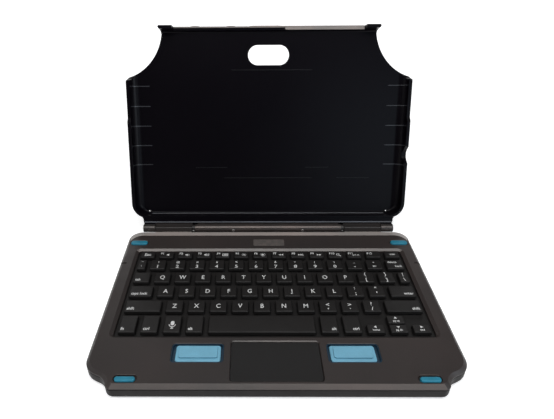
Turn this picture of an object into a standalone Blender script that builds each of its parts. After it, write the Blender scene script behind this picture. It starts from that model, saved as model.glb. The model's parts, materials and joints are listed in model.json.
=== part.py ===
"""Attachable keyboard dock with a hinged tablet cover, as separate pieces.

Lengths are in millimetres here and become metres when a mesh is written.
The base lies flat with its front towards -Y. Its own frame has x = 0 on the
centre line, y = 0 at the rear face and z = 0 at the surface it stands on.
The cover's own frame has its origin on the hinge axis, z up along the cover
and y towards its back.
"""

import math

import bmesh
import bpy
from mathutils import Vector

MM = 0.001
GAP = 0.3
PAST = 1.0

# Base
BASE_HALF_WIDTH = 130.0
BASE_DEPTH = 176.0
REAR_CORNER_R = 11.0
SHOULDER_Y = -160.3
SHOULDER_R = 13.0
NOSE_HALF_WIDTH = 111.5
NOSE_Y = -170.0
NOSE_INNER_R = 4.0
NOSE_OUTER_R = 2.6
CASE_BOTTOM_Z = 1.0
CASE_FLOOR = 1.6
CASE_WALL = 2.0
PARTING_Z = 9.6
DECK_SIDE_Z = 10.6
DECK_Z = 13.0
DECK_SIDE_BEVEL = 2.4
DECK_REAR_BEVEL = 6.7

# Keyboard
PITCH = 16.86
KEYBOARD_HALF_WIDTH = 6.875 * PITCH
NUMBER_ROW_Y = -52.6
FUNCTION_ROW_DEPTH = 0.865 * PITCH
KEY_BOTTOM_Z = 10.8
KEY_TOP_Z = 13.4
KEY_SIDE_GAP = 3.4
KEY_FRONT_GAP = 3.9
KEY_SHIFT = 0.7
FUNCTION_KEY = (8.4, -1.4)
BOTTOM_KEY = (17.6, -1.2)
KEY_TAPER = 0.95
KEY_CORNER_R = 1.2
WEB_THICKNESS = 0.5
WELL_HALF_WIDTH = 117.0
WELL_REAR_Y = -31.2
WELL_FRONT_Y = -132.6
WELL_LIP = 2.6
WELL_FRONT_LIP = 1.8
WELL_LIP_DEPTH = 1.5
KEYMAT_Z = (7.6, 9.3)
KEYMAT_OVERLAP = 2.4
BOARD_Z = (5.6, 7.2)

# Touchpad, pointer buttons and rest pads
TOUCHPAD_HALF_WIDTH = 31.0
TOUCHPAD_REAR_Y = -138.0
TOUCHPAD_FRONT_Y = -171.6
TOUCHPAD_Z = (9.3, 12.5)
BUTTON_X = 54.0
BUTTON_Y = -148.1
BUTTON_POCKET = (36.4, 16.6)
BUTTON_FLANGE = (33.6, 14.4)
BUTTON_PLATEAU = (28.6, 10.0)
BUTTON_POCKET_Z = 10.5
BUTTON_LEVELS_Z = (11.4, 12.3, 13.3)
BUTTON_STEM_R = 2.0
BUTTON_STEM_END_Z = 9.4
PAD_PROUD = 1.2
PAD_SINK = 1.4
REAR_PAD = (118.6, -20.2, 15.6, 6.6)
FRONT_PAD = (99.8, -169.6, 15.2, 5.4)

# Pieces inside and under the base
SCREW_PLACES = ((-112.0, -22.0), (112.0, -22.0), (-92.0, -150.0), (92.0, -150.0))
SCREW_BOSS_R = 4.4
SCREW_HEAD_R = 2.6
SCREW_SHANK_R = 1.2
SCREW_HEAD_Z = (1.3, 2.6)
SCREW_END_Z = 8.8
BATTERY = (-56.0, 56.0, -168.0, -139.0, 2.9, 8.4)
FOOT_HALF_LENGTH = 98.0
FOOT_WIDTH = 8.0
FOOT_TOP_Z = 1.5
FOOT_PLACES_Y = {"rear_foot": -12.0, "front_foot": -160.0}

# Hinge
AXIS_Y = 5.2
AXIS_Z = 11.8
COVER_LEAN = math.radians(19.2)
POST_X = (72.5, 107.6)
POST_R = 4.2
KNUCKLE_X = (108.0, 119.4)
KNUCKLE_R = 3.9
EAR_BACK_Y = 8.0
BARREL_HALF_LENGTH = 69.8
BARREL_R = 3.7
SHAFT_X = (76.5, 116.6)
SHAFT_R = 1.6
TROUGH_HALF_LENGTH = 73.0
TROUGH_R = 4.1

# Cover
COVER_HALF_WIDTH = 130.0
COVER_TOP_Z = 185.5
COVER_CORNER_R = 14.0
COVER_BACK_Y = 14.0
COVER_FLOOR_Y = 12.0
COVER_RIM_Y = 1.6
COVER_WALL = 2.0
COVER_SIDE_WALL = 3.0
RAIL_HALF_WIDTH = 119.8
RAIL_BOTTOM_Z = 5.4
BAY_BOTTOM_Z = 11.8
SHELL_BOTTOM_Z = 9.6
SIDE_TOP_Z = 140.4
SCOOP_CENTRE = (142.6, 184.2)
SCOOP_R = 46.0
HORN_TIP_X = 98.6
HORN_INNER_X = 86.0
TOP_WALL_Z = 181.8
LOW_RIM_FROM_Z = 103.0
LOW_RIM_Y = 4.4
PORT_NOTCH_Z = (62.0, 77.0)
WINDOW_Z = 159.9
WINDOW_SIZE = (37.4, 17.6)
RIB_FIRST_Z = 60.0
RIB_PITCH = 18.2
RIB_COUNT = 5
RIB_INNER_X = 109.5
RIB_SIZE = (0.9, 0.5)
SKIRT_HALF_WIDTH = 107.0
SKIRT_Y = (12.2, 13.8)
SKIRT_Z = (1.5, 7.0)
TRIM_SEAT = 1.6
TRIM_DEPTH = 3.0
TRIM_SINK = 0.4

REACH_BACK = AXIS_Y + COVER_TOP_Z * math.sin(COVER_LEAN) + COVER_BACK_Y * math.cos(COVER_LEAN)
BASE_REAR_Y = (BASE_DEPTH - REACH_BACK) / 2

COLOURS = {
    "case": ((0.045, 0.040, 0.038, 1.0), 0.45),
    "lower_case": ((0.022, 0.020, 0.019, 1.0), 0.50),
    "cover": ((0.006, 0.006, 0.008, 1.0), 0.30),
    "key": ((0.018, 0.018, 0.019, 1.0), 0.55),
    "mat": ((0.010, 0.010, 0.011, 1.0), 0.70),
    "touchpad": ((0.015, 0.014, 0.014, 1.0), 0.35),
    "button": ((0.15, 0.45, 0.62, 1.0), 0.50),
    "pad": ((0.03, 0.24, 0.36, 1.0), 0.60),
    "rubber": ((0.012, 0.012, 0.012, 1.0), 0.85),
    "steel": ((0.55, 0.55, 0.56, 1.0), 0.30),
    "barrel": ((0.070, 0.064, 0.060, 1.0), 0.35),
    "trim": ((0.24, 0.23, 0.22, 1.0), 0.60),
    "board": ((0.02, 0.10, 0.05, 1.0), 0.50),
    "battery": ((0.30, 0.31, 0.33, 1.0), 0.45),
}
METALS = {"steel"}


def clear_scene():
    for obj in list(bpy.data.objects):
        bpy.data.objects.remove(obj, do_unlink=True)


def material(name):
    found = bpy.data.materials.get(name)
    if found:
        return found
    colour, roughness = COLOURS[name]
    made = bpy.data.materials.new(name)
    made.use_nodes = True
    shader = made.node_tree.nodes["Principled BSDF"]
    shader.inputs["Base Color"].default_value = colour
    shader.inputs["Roughness"].default_value = roughness
    shader.inputs["Metallic"].default_value = 1.0 if name in METALS else 0.0
    return made


def empty(name, location=(0, 0, 0), lean=0.0):
    made = bpy.data.objects.new(name, None)
    made.location = Vector(location) * MM
    made.rotation_euler = (-lean, 0, 0)
    bpy.context.collection.objects.link(made)
    return made


def mesh_data(name, body):
    """A bmesh in millimetres written as a mesh in metres, with outward normals."""
    bmesh.ops.scale(body, vec=(MM, MM, MM), verts=body.verts)
    bmesh.ops.recalc_face_normals(body, faces=body.faces)
    data = bpy.data.meshes.new(name)
    body.to_mesh(data)
    body.free()
    data.shade_smooth()
    data.set_sharp_from_angle(angle=math.radians(35))
    return data


def piece(name, body, colour, parent, location=(0, 0, 0)):
    data = body if isinstance(body, bpy.types.Mesh) else mesh_data(name, body)
    if not data.materials:
        data.materials.append(material(colour))
    made = bpy.data.objects.new(name, data)
    made.parent = parent
    made.location = Vector(location) * MM
    bpy.context.collection.objects.link(made)
    return made


def combine(target, body, operation):
    """Cuts or joins a closed helper shape, which stays hidden in the scene."""
    number = len(target.modifiers) + 1
    helper = piece(f"{target.name}_helper_{number}", body, "mat", target.parent)
    helper.hide_render = True
    helper.display_type = "WIRE"
    boolean = target.modifiers.new(helper.name, "BOOLEAN")
    boolean.operation = operation
    boolean.solver = "EXACT"
    boolean.object = helper


def rounded(corners, step=15.0):
    """A closed outline through (x, y, radius) corners, each turned as an arc."""
    points = []
    for i, (x, y, radius) in enumerate(corners):
        here = Vector((x, y))
        if radius <= 0:
            points.append((x, y))
            continue
        before = (Vector(corners[i - 1][:2]) - here).normalized()
        after = (Vector(corners[(i + 1) % len(corners)][:2]) - here).normalized()
        opening = before.angle(after)
        turn = math.pi - opening
        centre = here + (before + after).normalized() * radius / math.sin(opening / 2)
        first = here + before * radius / math.tan(opening / 2) - centre
        way = 1 if before.x * after.y - before.y * after.x < 0 else -1
        count = max(2, round(math.degrees(turn) / step))
        for k in range(count + 1):
            angle = way * turn * k / count
            spoke = (first.x * math.cos(angle) - first.y * math.sin(angle),
                     first.x * math.sin(angle) + first.y * math.cos(angle))
            points.append((centre.x + spoke[0], centre.y + spoke[1]))
    return [p for i, p in enumerate(points) if math.dist(p, points[i - 1]) > 1e-4]


def mirrored(half):
    """Corners of the right half, front to rear, completed with the left half."""
    return half + [(-x, y, radius) for x, y, radius in reversed(half)]


def box_outline(x0, x1, y0, y1, radius=0.0, step=30.0):
    corners = [(x0, y0, radius), (x1, y0, radius), (x1, y1, radius), (x0, y1, radius)]
    return rounded(corners, step)


def circle(radius, centre=(0, 0), sides=20):
    turns = [math.tau * k / sides for k in range(sides)]
    return [(centre[0] + radius * math.cos(a), centre[1] + radius * math.sin(a)) for a in turns]


def loft(levels, body=None, place=lambda u, v, w: (u, v, w)):
    """A closed body through outlines of equal length, (w, outline) from first to last."""
    body = body or bmesh.new()
    rings = [[body.verts.new(place(u, v, w)) for u, v in outline] for w, outline in levels]
    for lower, upper in zip(rings, rings[1:]):
        for i in range(len(lower)):
            j = (i + 1) % len(lower)
            body.faces.new((lower[i], lower[j], upper[j], upper[i]))
    body.faces.new(list(reversed(rings[0])))
    body.faces.new(rings[-1])
    return body


def prism(outline, low, high, body=None, place=lambda u, v, w: (u, v, w)):
    return loft([(low, outline), (high, outline)], body, place)


def block(x0, x1, y0, y1, z0, z1, body=None):
    return prism([(x0, y0), (x1, y0), (x1, y1), (x0, y1)], z0, z1, body)


def along_x(u, v, w):
    """Outline in y and z, run along x."""
    return (w, u, v)


def along_y(u, v, w):
    """Outline in x and z, run along y."""
    return (u, w, v)


def base_outline(side=0.0, rear=0.0, front=0.0):
    """The base seen from above, drawn in by so much at its sides, rear and front."""
    front_y = -BASE_DEPTH + front
    half = [
        (NOSE_HALF_WIDTH - side, front_y, NOSE_OUTER_R),
        (NOSE_HALF_WIDTH - side, NOSE_Y + side * 0.4, NOSE_INNER_R),
        (BASE_HALF_WIDTH - side, SHOULDER_Y + side * 0.4, SHOULDER_R),
        (BASE_HALF_WIDTH - side, -rear, REAR_CORNER_R),
    ]
    return rounded(mirrored(half))


def make_bottom_case(parent):
    levels = [(CASE_BOTTOM_Z, 2.6), (1.8, 0.9), (3.4, 0.0), (PARTING_Z - GAP, 0.0)]
    body = loft([(z, base_outline(d, d, d)) for z, d in levels])
    case = piece("bottom_case", body, "lower_case", parent)
    cavity_floor = CASE_BOTTOM_Z + CASE_FLOOR
    wall = base_outline(CASE_WALL, CASE_WALL, CASE_WALL)
    combine(case, prism(wall, cavity_floor, PARTING_Z + PAST), "DIFFERENCE")
    bosses = bmesh.new()
    for centre in SCREW_PLACES:
        prism(circle(SCREW_BOSS_R, centre), cavity_floor - GAP, PARTING_Z - GAP, bosses)
    combine(case, bosses, "UNION")
    holes = bmesh.new()
    for centre in SCREW_PLACES:
        head = circle(SCREW_HEAD_R + GAP, centre)
        neck = circle(SCREW_SHANK_R + GAP, centre)
        seat = SCREW_HEAD_Z[1] + GAP
        loft([(-PAST, head), (seat, head), (seat, neck), (PARTING_Z + PAST, neck)], holes)
    for middle in FOOT_PLACES_Y.values():
        reach = FOOT_HALF_LENGTH + GAP
        width = FOOT_WIDTH / 2 + GAP
        outline = box_outline(-reach, reach, middle - width, middle + width, width)
        prism(outline, -PAST, FOOT_TOP_Z + GAP, holes)
    combine(case, holes, "DIFFERENCE")


def post_outline():
    """A hinge post seen from the side: round over the axis, with a foot into the deck."""
    centre = (AXIS_Y, AXIS_Z)
    over = [math.radians(200 - 20 * k) for k in range(11)]
    head = [(centre[0] + POST_R * math.cos(a), centre[1] + POST_R * math.sin(a)) for a in over]
    foot = [(AXIS_Y + POST_R, AXIS_Z - 2.0), (7.6, 5.0), (0.4, 5.0), (0.4, PARTING_Z + 0.2),
            (-4.0, PARTING_Z + 0.2), (-4.0, DECK_SIDE_Z + 1.2), (0.4, DECK_SIDE_Z + 0.8)]
    return list(reversed(head + foot))


def trough_outline():
    """The deck's rear edge between the posts, hollowed to pass close under the barrel."""
    under = [math.radians(290 - 19 * k) for k in range(6)]
    hollow = [(AXIS_Y + TROUGH_R * math.cos(a), AXIS_Z + TROUGH_R * math.sin(a)) for a in under]
    return [(-3.8, 9.75), (0.45, 9.75), (0.45, 5.5), (7.0, 5.5)] + hollow + [(-0.6, 10.7),
                                                                          (-3.8, 10.5)]


def pad_outline(pad, side, grow=0.0):
    x, y, length, width = pad
    half_l = length / 2 + grow
    half_w = width / 2 + grow
    return box_outline(side * x - half_l, side * x + half_l, y - half_w, y + half_w, half_w)


def make_top_case(parent):
    upper = base_outline(DECK_SIDE_BEVEL, DECK_REAR_BEVEL, DECK_SIDE_BEVEL)
    body = loft([(PARTING_Z, base_outline()), (DECK_SIDE_Z, base_outline()), (DECK_Z, upper)])
    deck = piece("top_case", body, "case", parent)
    posts = bmesh.new()
    for side in (-1, 1):
        prism(post_outline(), *sorted(side * x for x in POST_X), posts, along_x)
    combine(deck, posts, "UNION")
    combine(deck, prism(trough_outline(), -TROUGH_HALF_LENGTH, TROUGH_HALF_LENGTH, None, along_x),
            "UNION")

    openings = bmesh.new()
    well = (-WELL_HALF_WIDTH, WELL_HALF_WIDTH, WELL_FRONT_Y, WELL_REAR_Y)
    lip = (well[0] - WELL_LIP, well[1] + WELL_LIP, well[2] - WELL_FRONT_LIP, well[3] + WELL_LIP)
    above = (lip[0] - PAST, lip[1] + PAST, lip[2] - PAST, lip[3] + PAST)
    loft([(PARTING_Z - PAST, box_outline(*well, 2.0)),
          (DECK_Z - WELL_LIP_DEPTH, box_outline(*well, 2.0)),
          (DECK_Z, box_outline(*lip, 2.0)), (DECK_Z + PAST, box_outline(*above, 2.0))], openings)
    prism(box_outline(-TOUCHPAD_HALF_WIDTH, TOUCHPAD_HALF_WIDTH, TOUCHPAD_FRONT_Y,
                      TOUCHPAD_REAR_Y, 2.0), PARTING_Z - PAST, DECK_Z + PAST, openings)
    for side in (-1, 1):
        half_l, half_w = BUTTON_POCKET[0] / 2, BUTTON_POCKET[1] / 2
        middle = side * BUTTON_X
        prism(box_outline(middle - half_l, middle + half_l, BUTTON_Y - half_w,
                          BUTTON_Y + half_w, 2.4), BUTTON_POCKET_Z, DECK_Z + PAST, openings)
        for pad in (REAR_PAD, FRONT_PAD):
            prism(pad_outline(pad, side, GAP), DECK_Z - PAD_SINK - GAP, DECK_Z + PAST, openings)
    combine(deck, openings, "DIFFERENCE")

    bores = bmesh.new()
    for side in (-1, 1):
        stem = circle(BUTTON_STEM_R + GAP, (side * BUTTON_X, BUTTON_Y))
        prism(stem, PARTING_Z - PAST, BUTTON_POCKET_Z + 0.5, bores)
        ends = sorted((side * (SHAFT_X[0] - GAP), side * (POST_X[1] + PAST)))
        prism(circle(SHAFT_R + GAP, (AXIS_Y, AXIS_Z)), *ends, bores, along_x)
    combine(deck, bores, "DIFFERENCE")


def make_inner_pieces(parent):
    reach = WELL_HALF_WIDTH + KEYMAT_OVERLAP
    front = WELL_FRONT_Y - KEYMAT_OVERLAP
    rear = WELL_REAR_Y + KEYMAT_OVERLAP
    mat = prism(box_outline(-reach, reach, front, rear, 3.0), *KEYMAT_Z)
    piece("keymat", mat, "mat", parent)
    board = prism(box_outline(-reach + 3, reach - 3, front + 3, rear - 3, 2.0), *BOARD_Z)
    piece("main_board", board, "board", parent)
    x0, x1, y0, y1, z0, z1 = BATTERY
    piece("battery_pack", prism(box_outline(x0, x1, y0, y1, 1.5), z0, z1), "battery", parent)


def make_screws(parent):
    head = circle(SCREW_HEAD_R, sides=16)
    shank = circle(SCREW_SHANK_R, sides=16)
    low, seat = SCREW_HEAD_Z
    screw = mesh_data("case_screw", loft([(low, head), (seat, head), (seat, shank),
                                          (SCREW_END_Z, shank)]))
    for number, (x, y) in enumerate(SCREW_PLACES, 1):
        piece(f"case_screw_{number}", screw, "steel", parent, (x, y, 0))


def make_feet(parent):
    half = FOOT_WIDTH / 2
    outline = box_outline(-FOOT_HALF_LENGTH, FOOT_HALF_LENGTH, -half, half, half)
    for name, y in FOOT_PLACES_Y.items():
        piece(name, prism(outline, 0.0, FOOT_TOP_Z), "rubber", parent, (0, y, 0))


def make_touchpad(parent):
    outline = box_outline(-TOUCHPAD_HALF_WIDTH + GAP, TOUCHPAD_HALF_WIDTH - GAP,
                          TOUCHPAD_FRONT_Y + GAP, TOUCHPAD_REAR_Y - GAP, 1.8)
    piece("touchpad", prism(outline, *TOUCHPAD_Z), "touchpad", parent)


def make_buttons(parent):
    def ring(size, radius):
        return box_outline(-size[0] / 2, size[0] / 2, -size[1] / 2, size[1] / 2, radius)

    low, shoulder, top = BUTTON_LEVELS_Z
    foot = (BUTTON_FLANGE[0] + 0.8, BUTTON_FLANGE[1] + 0.8)
    crown = (BUTTON_PLATEAU[0] - 1.0, BUTTON_PLATEAU[1] - 1.0)
    levels = [(low, ring(foot, 2.2)), (shoulder, ring(BUTTON_FLANGE, 1.8)),
              (shoulder, ring(BUTTON_PLATEAU, 1.4)), (top, ring(crown, 1.2))]
    for name, side in (("left_button", -1), ("right_button", 1)):
        button = piece(name, loft(levels), "button", parent, (side * BUTTON_X, BUTTON_Y, 0))
        stem = prism(circle(BUTTON_STEM_R, (side * BUTTON_X, BUTTON_Y), 16),
                     BUTTON_STEM_END_Z, low + 0.4)
        combine(button, stem, "UNION")


def make_pads(parent):
    for name, pad in (("rear", REAR_PAD), ("front", FRONT_PAD)):
        for hand, side in (("left", -1), ("right", 1)):
            levels = [(DECK_Z - PAD_SINK, pad_outline(pad, side)),
                      (DECK_Z + PAD_PROUD - 0.5, pad_outline(pad, side)),
                      (DECK_Z + PAD_PROUD, pad_outline(pad, side, -0.6))]
            piece(f"{name}_{hand}_pad", loft(levels), "pad", parent)


def key_cap(width, depth, lift=0.0, centre=(0, 0), body=None):
    """One tapered key, width by depth at its foot, on (x, y) centre."""
    def ring(inset, radius):
        half_w, half_d = width / 2 - inset, depth / 2 - inset
        x, y = centre
        return box_outline(x - half_w, x + half_w, y - half_d, y + half_d, radius, 45.0)

    return loft([(KEY_BOTTOM_Z + lift, ring(0, KEY_CORNER_R)),
                 (KEY_TOP_Z - 0.4, ring(KEY_TAPER - 0.4, KEY_CORNER_R)),
                 (KEY_TOP_Z, ring(KEY_TAPER, KEY_CORNER_R * 0.7))], body)


def row_y(row):
    """Middle of a key row: 0 is the function row, 1 the numbers, 5 the space bar."""
    if row == 0:
        return NUMBER_ROW_Y + (PITCH + FUNCTION_ROW_DEPTH) / 2 + FUNCTION_KEY[1]
    shift = BOTTOM_KEY[1] if row == 5 else KEY_SHIFT
    return NUMBER_ROW_Y - (row - 1) * PITCH + shift


def key_depth(row):
    return {0: FUNCTION_KEY[0], 5: BOTTOM_KEY[0]}.get(row, PITCH - KEY_FRONT_GAP)


def make_key(name, row, left, units, parent):
    """A key that stands alone, from left by so many units."""
    width = units * PITCH
    shape = f"key_{round(width * 10)}_{row == 0}"
    data = bpy.data.meshes.get(shape)
    if data is None:
        data = mesh_data(shape, key_cap(width - KEY_SIDE_GAP, key_depth(row)))
    piece(name, data, "key", parent, (left + width / 2, row_y(row), 0))
    return left + width


def make_key_strip(name, row, left, units, parent):
    """Neighbouring keys moulded on one thin web, from left, each so many units wide."""
    y = row_y(row)
    depth = key_depth(row)
    right = left + sum(units) * PITCH
    web_low = (KEY_SIDE_GAP / 2 + 0.2, depth / 2 - 0.2)
    web = prism(box_outline(left + web_low[0], right - web_low[0], y - web_low[1],
                            y + web_low[1], KEY_CORNER_R), KEY_BOTTOM_Z,
                KEY_BOTTOM_Z + WEB_THICKNESS)
    strip = piece(name, web, "key", parent)
    caps = bmesh.new()
    for count in units:
        width = count * PITCH
        key_cap(width - KEY_SIDE_GAP, depth, WEB_THICKNESS / 2, (left + width / 2, y), caps)
        left += width
    combine(strip, caps, "UNION")
    return left


def make_arrow_strip(name, row, left, units, parent):
    """The last keys of the bottom row: two full keys, then four half-depth arrows."""
    y = row_y(row)
    depth = key_depth(row)
    half = depth / 2 - 0.25
    right = left + sum(units) * PITCH
    inset = KEY_SIDE_GAP / 2 + 0.2
    web = prism(box_outline(left + inset, right - inset, y - depth / 2 + 0.2,
                            y + depth / 2 - 0.2, KEY_CORNER_R), KEY_BOTTOM_Z,
                KEY_BOTTOM_Z + WEB_THICKNESS)
    strip = piece(name, web, "key", parent)
    caps = bmesh.new()
    for index, count in enumerate(units):
        width = count * PITCH
        middle = left + width / 2
        lower_y = y - depth / 2 + half / 2
        if index < 2:
            key_cap(width - KEY_SIDE_GAP, depth, WEB_THICKNESS / 2, (middle, y), caps)
        else:
            key_cap(width - KEY_SIDE_GAP, half, WEB_THICKNESS / 2, (middle, lower_y), caps)
        if index == 3:
            upper_y = y + depth / 2 - half / 2
            key_cap(width - KEY_SIDE_GAP, half, WEB_THICKNESS / 2, (middle, upper_y), caps)
        left += width
    combine(strip, caps, "UNION")


def make_letters(letters, row, left, parent):
    for letter in letters:
        left = make_key(f"key_{letter}", row, left, 1.0, parent)
    return left


def make_keys(parent):
    start = -KEYBOARD_HALF_WIDTH
    make_key_strip("function_keys", 0, start, [13.75 / 14] * 14, parent)
    make_key_strip("number_keys", 1, start, [0.655] + [1.0] * 12 + [1.095], parent)
    left = make_key("tab_key", 2, start, 1.03, parent)
    left = make_letters("qwertyuiop", 2, left, parent)
    make_key_strip("bracket_keys", 2, left, [1.0, 1.0, 0.72], parent)
    left = make_key("caps_lock_key", 3, start, 1.33, parent)
    left = make_letters("asdfghjkl", 3, left, parent)
    make_key_strip("enter_keys", 3, left, [1.0, 1.0, 1.42], parent)
    left = make_key("left_shift_key", 4, start, 1.89, parent)
    left = make_letters("zxcvbnm", 4, left, parent)
    make_key_strip("right_shift_keys", 4, left, [1.0, 1.0, 1.0, 1.86], parent)
    left = make_key_strip("left_modifier_keys", 5, start, [0.975] * 4, parent)
    left = make_key("space_bar", 5, left, 4.9, parent)
    make_arrow_strip("arrow_keys", 5, left, [0.99] * 5, parent)


def scoop(x_from, x_to, count):
    """Points of the round scoop that opens an upper corner, from one x to another."""
    cx, cz = SCOOP_CENTRE
    angles = [math.acos((cx - x) / SCOOP_R) for x in (x_from, x_to)]
    steps = [angles[0] + (angles[1] - angles[0]) * k / count for k in range(count + 1)]
    return [(cx - SCOOP_R * math.cos(a), cz - SCOOP_R * math.sin(a)) for a in steps]


def cover_outline():
    """The whole cover seen from its open side, in x and z."""
    lower = rounded([(-RAIL_HALF_WIDTH, RAIL_BOTTOM_Z, 1.0), (RAIL_HALF_WIDTH, RAIL_BOTTOM_Z, 1.0),
                     (RAIL_HALF_WIDTH, SHELL_BOTTOM_Z, 1.2),
                     (COVER_HALF_WIDTH, SHELL_BOTTOM_Z, COVER_CORNER_R),
                     (COVER_HALF_WIDTH, SIDE_TOP_Z - 4.0, 0.0), (0, SIDE_TOP_Z, 0.0)])
    right = [p for p in lower if p[0] > 0]
    right += [(COVER_HALF_WIDTH - 0.5, SIDE_TOP_Z - 1.6), (COVER_HALF_WIDTH - 2.0, SIDE_TOP_Z + 0.2)]
    right += scoop(COVER_HALF_WIDTH - 3.4, HORN_TIP_X - 1.6, 9)
    right += [(HORN_TIP_X, COVER_TOP_Z - 1.2), (HORN_TIP_X - 0.6, COVER_TOP_Z)]
    return right + [(-x, z) for x, z in reversed(right)]


def bay_outline():
    """The recess for the tablet: open through the scooped corners, closed by the walls."""
    inner = COVER_HALF_WIDTH - COVER_SIDE_WALL
    past_side = COVER_HALF_WIDTH + PAST
    right = rounded([(0, BAY_BOTTOM_Z, 0), (inner, BAY_BOTTOM_Z, COVER_CORNER_R - COVER_WALL),
                     (inner, SIDE_TOP_Z - 2.4, 0), (past_side, SIDE_TOP_Z - 2.4, 0),
                     (past_side, TOP_WALL_Z, 0), (0, TOP_WALL_Z, 0)])
    right = [p for p in right if p[0] > 0]
    return right + [(-x, z) for x, z in reversed(right)]


def knuckle_outline(ear_top):
    """An end knuckle seen from the side: round about the axis, with an ear up to the rail."""
    front = COVER_RIM_Y + 0.1
    first = math.acos(front / KNUCKLE_R)
    last = math.tau - math.asin(0.4 / KNUCKLE_R)
    angles = [first + (last - first) * k / 18 for k in range(19)]
    turn = [(KNUCKLE_R * math.cos(a), KNUCKLE_R * math.sin(a)) for a in angles]
    return turn + [(EAR_BACK_Y, -0.4), (EAR_BACK_Y, ear_top), (front, ear_top)]


def make_cover(parent):
    body = prism(cover_outline(), COVER_RIM_Y, COVER_BACK_Y, None, along_y)
    cover = piece("cover_shell", body, "cover", parent)

    bay = prism(bay_outline(), COVER_RIM_Y - PAST, COVER_FLOOR_Y, None, along_y)
    channel_top = BAY_BOTTOM_Z - COVER_WALL
    reach = RAIL_HALF_WIDTH - COVER_WALL
    block(-reach, reach, COVER_RIM_Y + COVER_WALL, COVER_BACK_Y - COVER_WALL,
          RAIL_BOTTOM_Z - PAST, channel_top, bay)
    combine(cover, bay, "DIFFERENCE")

    added = bmesh.new()
    for side in (-1, 1):
        ends = sorted(side * x for x in KNUCKLE_X)
        prism(knuckle_outline(channel_top + 0.5), *ends, added, along_x)
    block(-SKIRT_HALF_WIDTH, SKIRT_HALF_WIDTH, *SKIRT_Y, *SKIRT_Z, added)
    for k in range(RIB_COUNT):
        z = RIB_FIRST_Z + k * RIB_PITCH
        for side in (-1, 1):
            x0, x1 = sorted((side * RIB_INNER_X, side * (COVER_HALF_WIDTH - COVER_SIDE_WALL + 0.4)))
            block(x0, x1, COVER_FLOOR_Y - RIB_SIZE[1], COVER_FLOOR_Y + 0.4,
                  z - RIB_SIZE[0] / 2, z + RIB_SIZE[0] / 2, added)
    combine(cover, added, "UNION")

    cuts = bmesh.new()
    half_w, half_h = WINDOW_SIZE[0] / 2, WINDOW_SIZE[1] / 2
    window = box_outline(-half_w, half_w, WINDOW_Z - half_h, WINDOW_Z + half_h, half_h - 0.01, 15.0)
    prism(window, COVER_FLOOR_Y - PAST, COVER_BACK_Y + PAST, cuts, along_y)
    front, step, back = COVER_RIM_Y - PAST, COVER_FLOOR_Y - TRIM_DEPTH, COVER_FLOOR_Y + TRIM_SINK
    low, seat, high = TOP_WALL_Z - PAST, TOP_WALL_Z + TRIM_SEAT, COVER_TOP_Z + PAST
    trim_slot = [(front, low), (step, low), (step, seat), (back, seat), (back, high), (front, high)]
    prism(trim_slot, -HORN_INNER_X, HORN_INNER_X, cuts, along_x)
    for side in (-1, 1):
        x0, x1 = sorted((side * (COVER_HALF_WIDTH - COVER_SIDE_WALL - PAST),
                         side * (COVER_HALF_WIDTH + PAST)))
        low_rim = [(COVER_RIM_Y - PAST, LOW_RIM_FROM_Z - 4.0), (COVER_RIM_Y, LOW_RIM_FROM_Z - 2.0),
                   (LOW_RIM_Y, LOW_RIM_FROM_Z + 2.0), (LOW_RIM_Y, SIDE_TOP_Z + 10.0),
                   (COVER_RIM_Y - PAST, SIDE_TOP_Z + 10.0)]
        prism(low_rim, x0, x1, cuts, along_x)
        prism(circle(SHAFT_R + GAP, sides=16), *sorted((side * (KNUCKLE_X[0] - PAST),
                                                        side * (SHAFT_X[1] + GAP))), cuts, along_x)
    low, high = PORT_NOTCH_Z
    notch = [(COVER_RIM_Y - PAST, low - 1.0), (COVER_RIM_Y + 1.0, low), (8.0, low + 4.5),
             (8.0, high - 4.5), (COVER_RIM_Y + 1.0, high), (COVER_RIM_Y - PAST, high + 1.0)]
    prism(notch, COVER_HALF_WIDTH - COVER_SIDE_WALL - PAST, COVER_HALF_WIDTH + PAST, cuts, along_x)
    combine(cover, cuts, "DIFFERENCE")


def make_top_trim(parent):
    """The grey strip set along the top edge: low at the left, raised from the middle on."""
    low = TOP_WALL_Z + TRIM_SEAT + GAP
    outline = [(-85.6, low), (85.6, low), (85.6, COVER_TOP_Z - 0.2), (12.0, COVER_TOP_Z - 0.2),
               (-15.0, COVER_TOP_Z), (-20.0, COVER_TOP_Z - 0.8)]
    for middle in (-34.0, -66.0):
        outline += [(middle + 6, COVER_TOP_Z - 0.8), (middle + 2, COVER_TOP_Z - 0.1),
                    (middle - 2, COVER_TOP_Z - 0.1), (middle - 6, COVER_TOP_Z - 0.8)]
    outline += [(-85.6, COVER_TOP_Z - 0.8)]
    back = COVER_FLOOR_Y + TRIM_SINK - GAP
    body = prism(outline, COVER_FLOOR_Y - TRIM_DEPTH, back, None, along_y)
    piece("top_trim", body, "trim", parent)


def make_barrel(parent):
    """The round bar between the posts, with a web that stands in the cover's channel."""
    bar = prism(circle(BARREL_R, sides=24), -BARREL_HALF_LENGTH, BARREL_HALF_LENGTH, None, along_x)
    barrel = piece("hinge_barrel", bar, "barrel", parent)
    rear = COVER_BACK_Y - COVER_WALL - GAP
    web_front = COVER_RIM_Y + COVER_WALL + GAP
    web_top = BAY_BOTTOM_Z - COVER_WALL - GAP
    web = [(1.0, 0.5), (rear - 4.5, 0.5), (rear - 4.5, web_top), (web_front, web_top),
           (web_front, 4.6), (1.0, 2.4)]
    combine(barrel, prism(web, -BARREL_HALF_LENGTH + 2, BARREL_HALF_LENGTH - 2, None, along_x),
            "UNION")


def make_shafts(parent):
    for name, side in (("left_hinge_shaft", -1), ("right_hinge_shaft", 1)):
        ends = sorted(side * x for x in SHAFT_X)
        piece(name, prism(circle(SHAFT_R, sides=16), *ends, None, along_x), "steel", parent)


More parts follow.
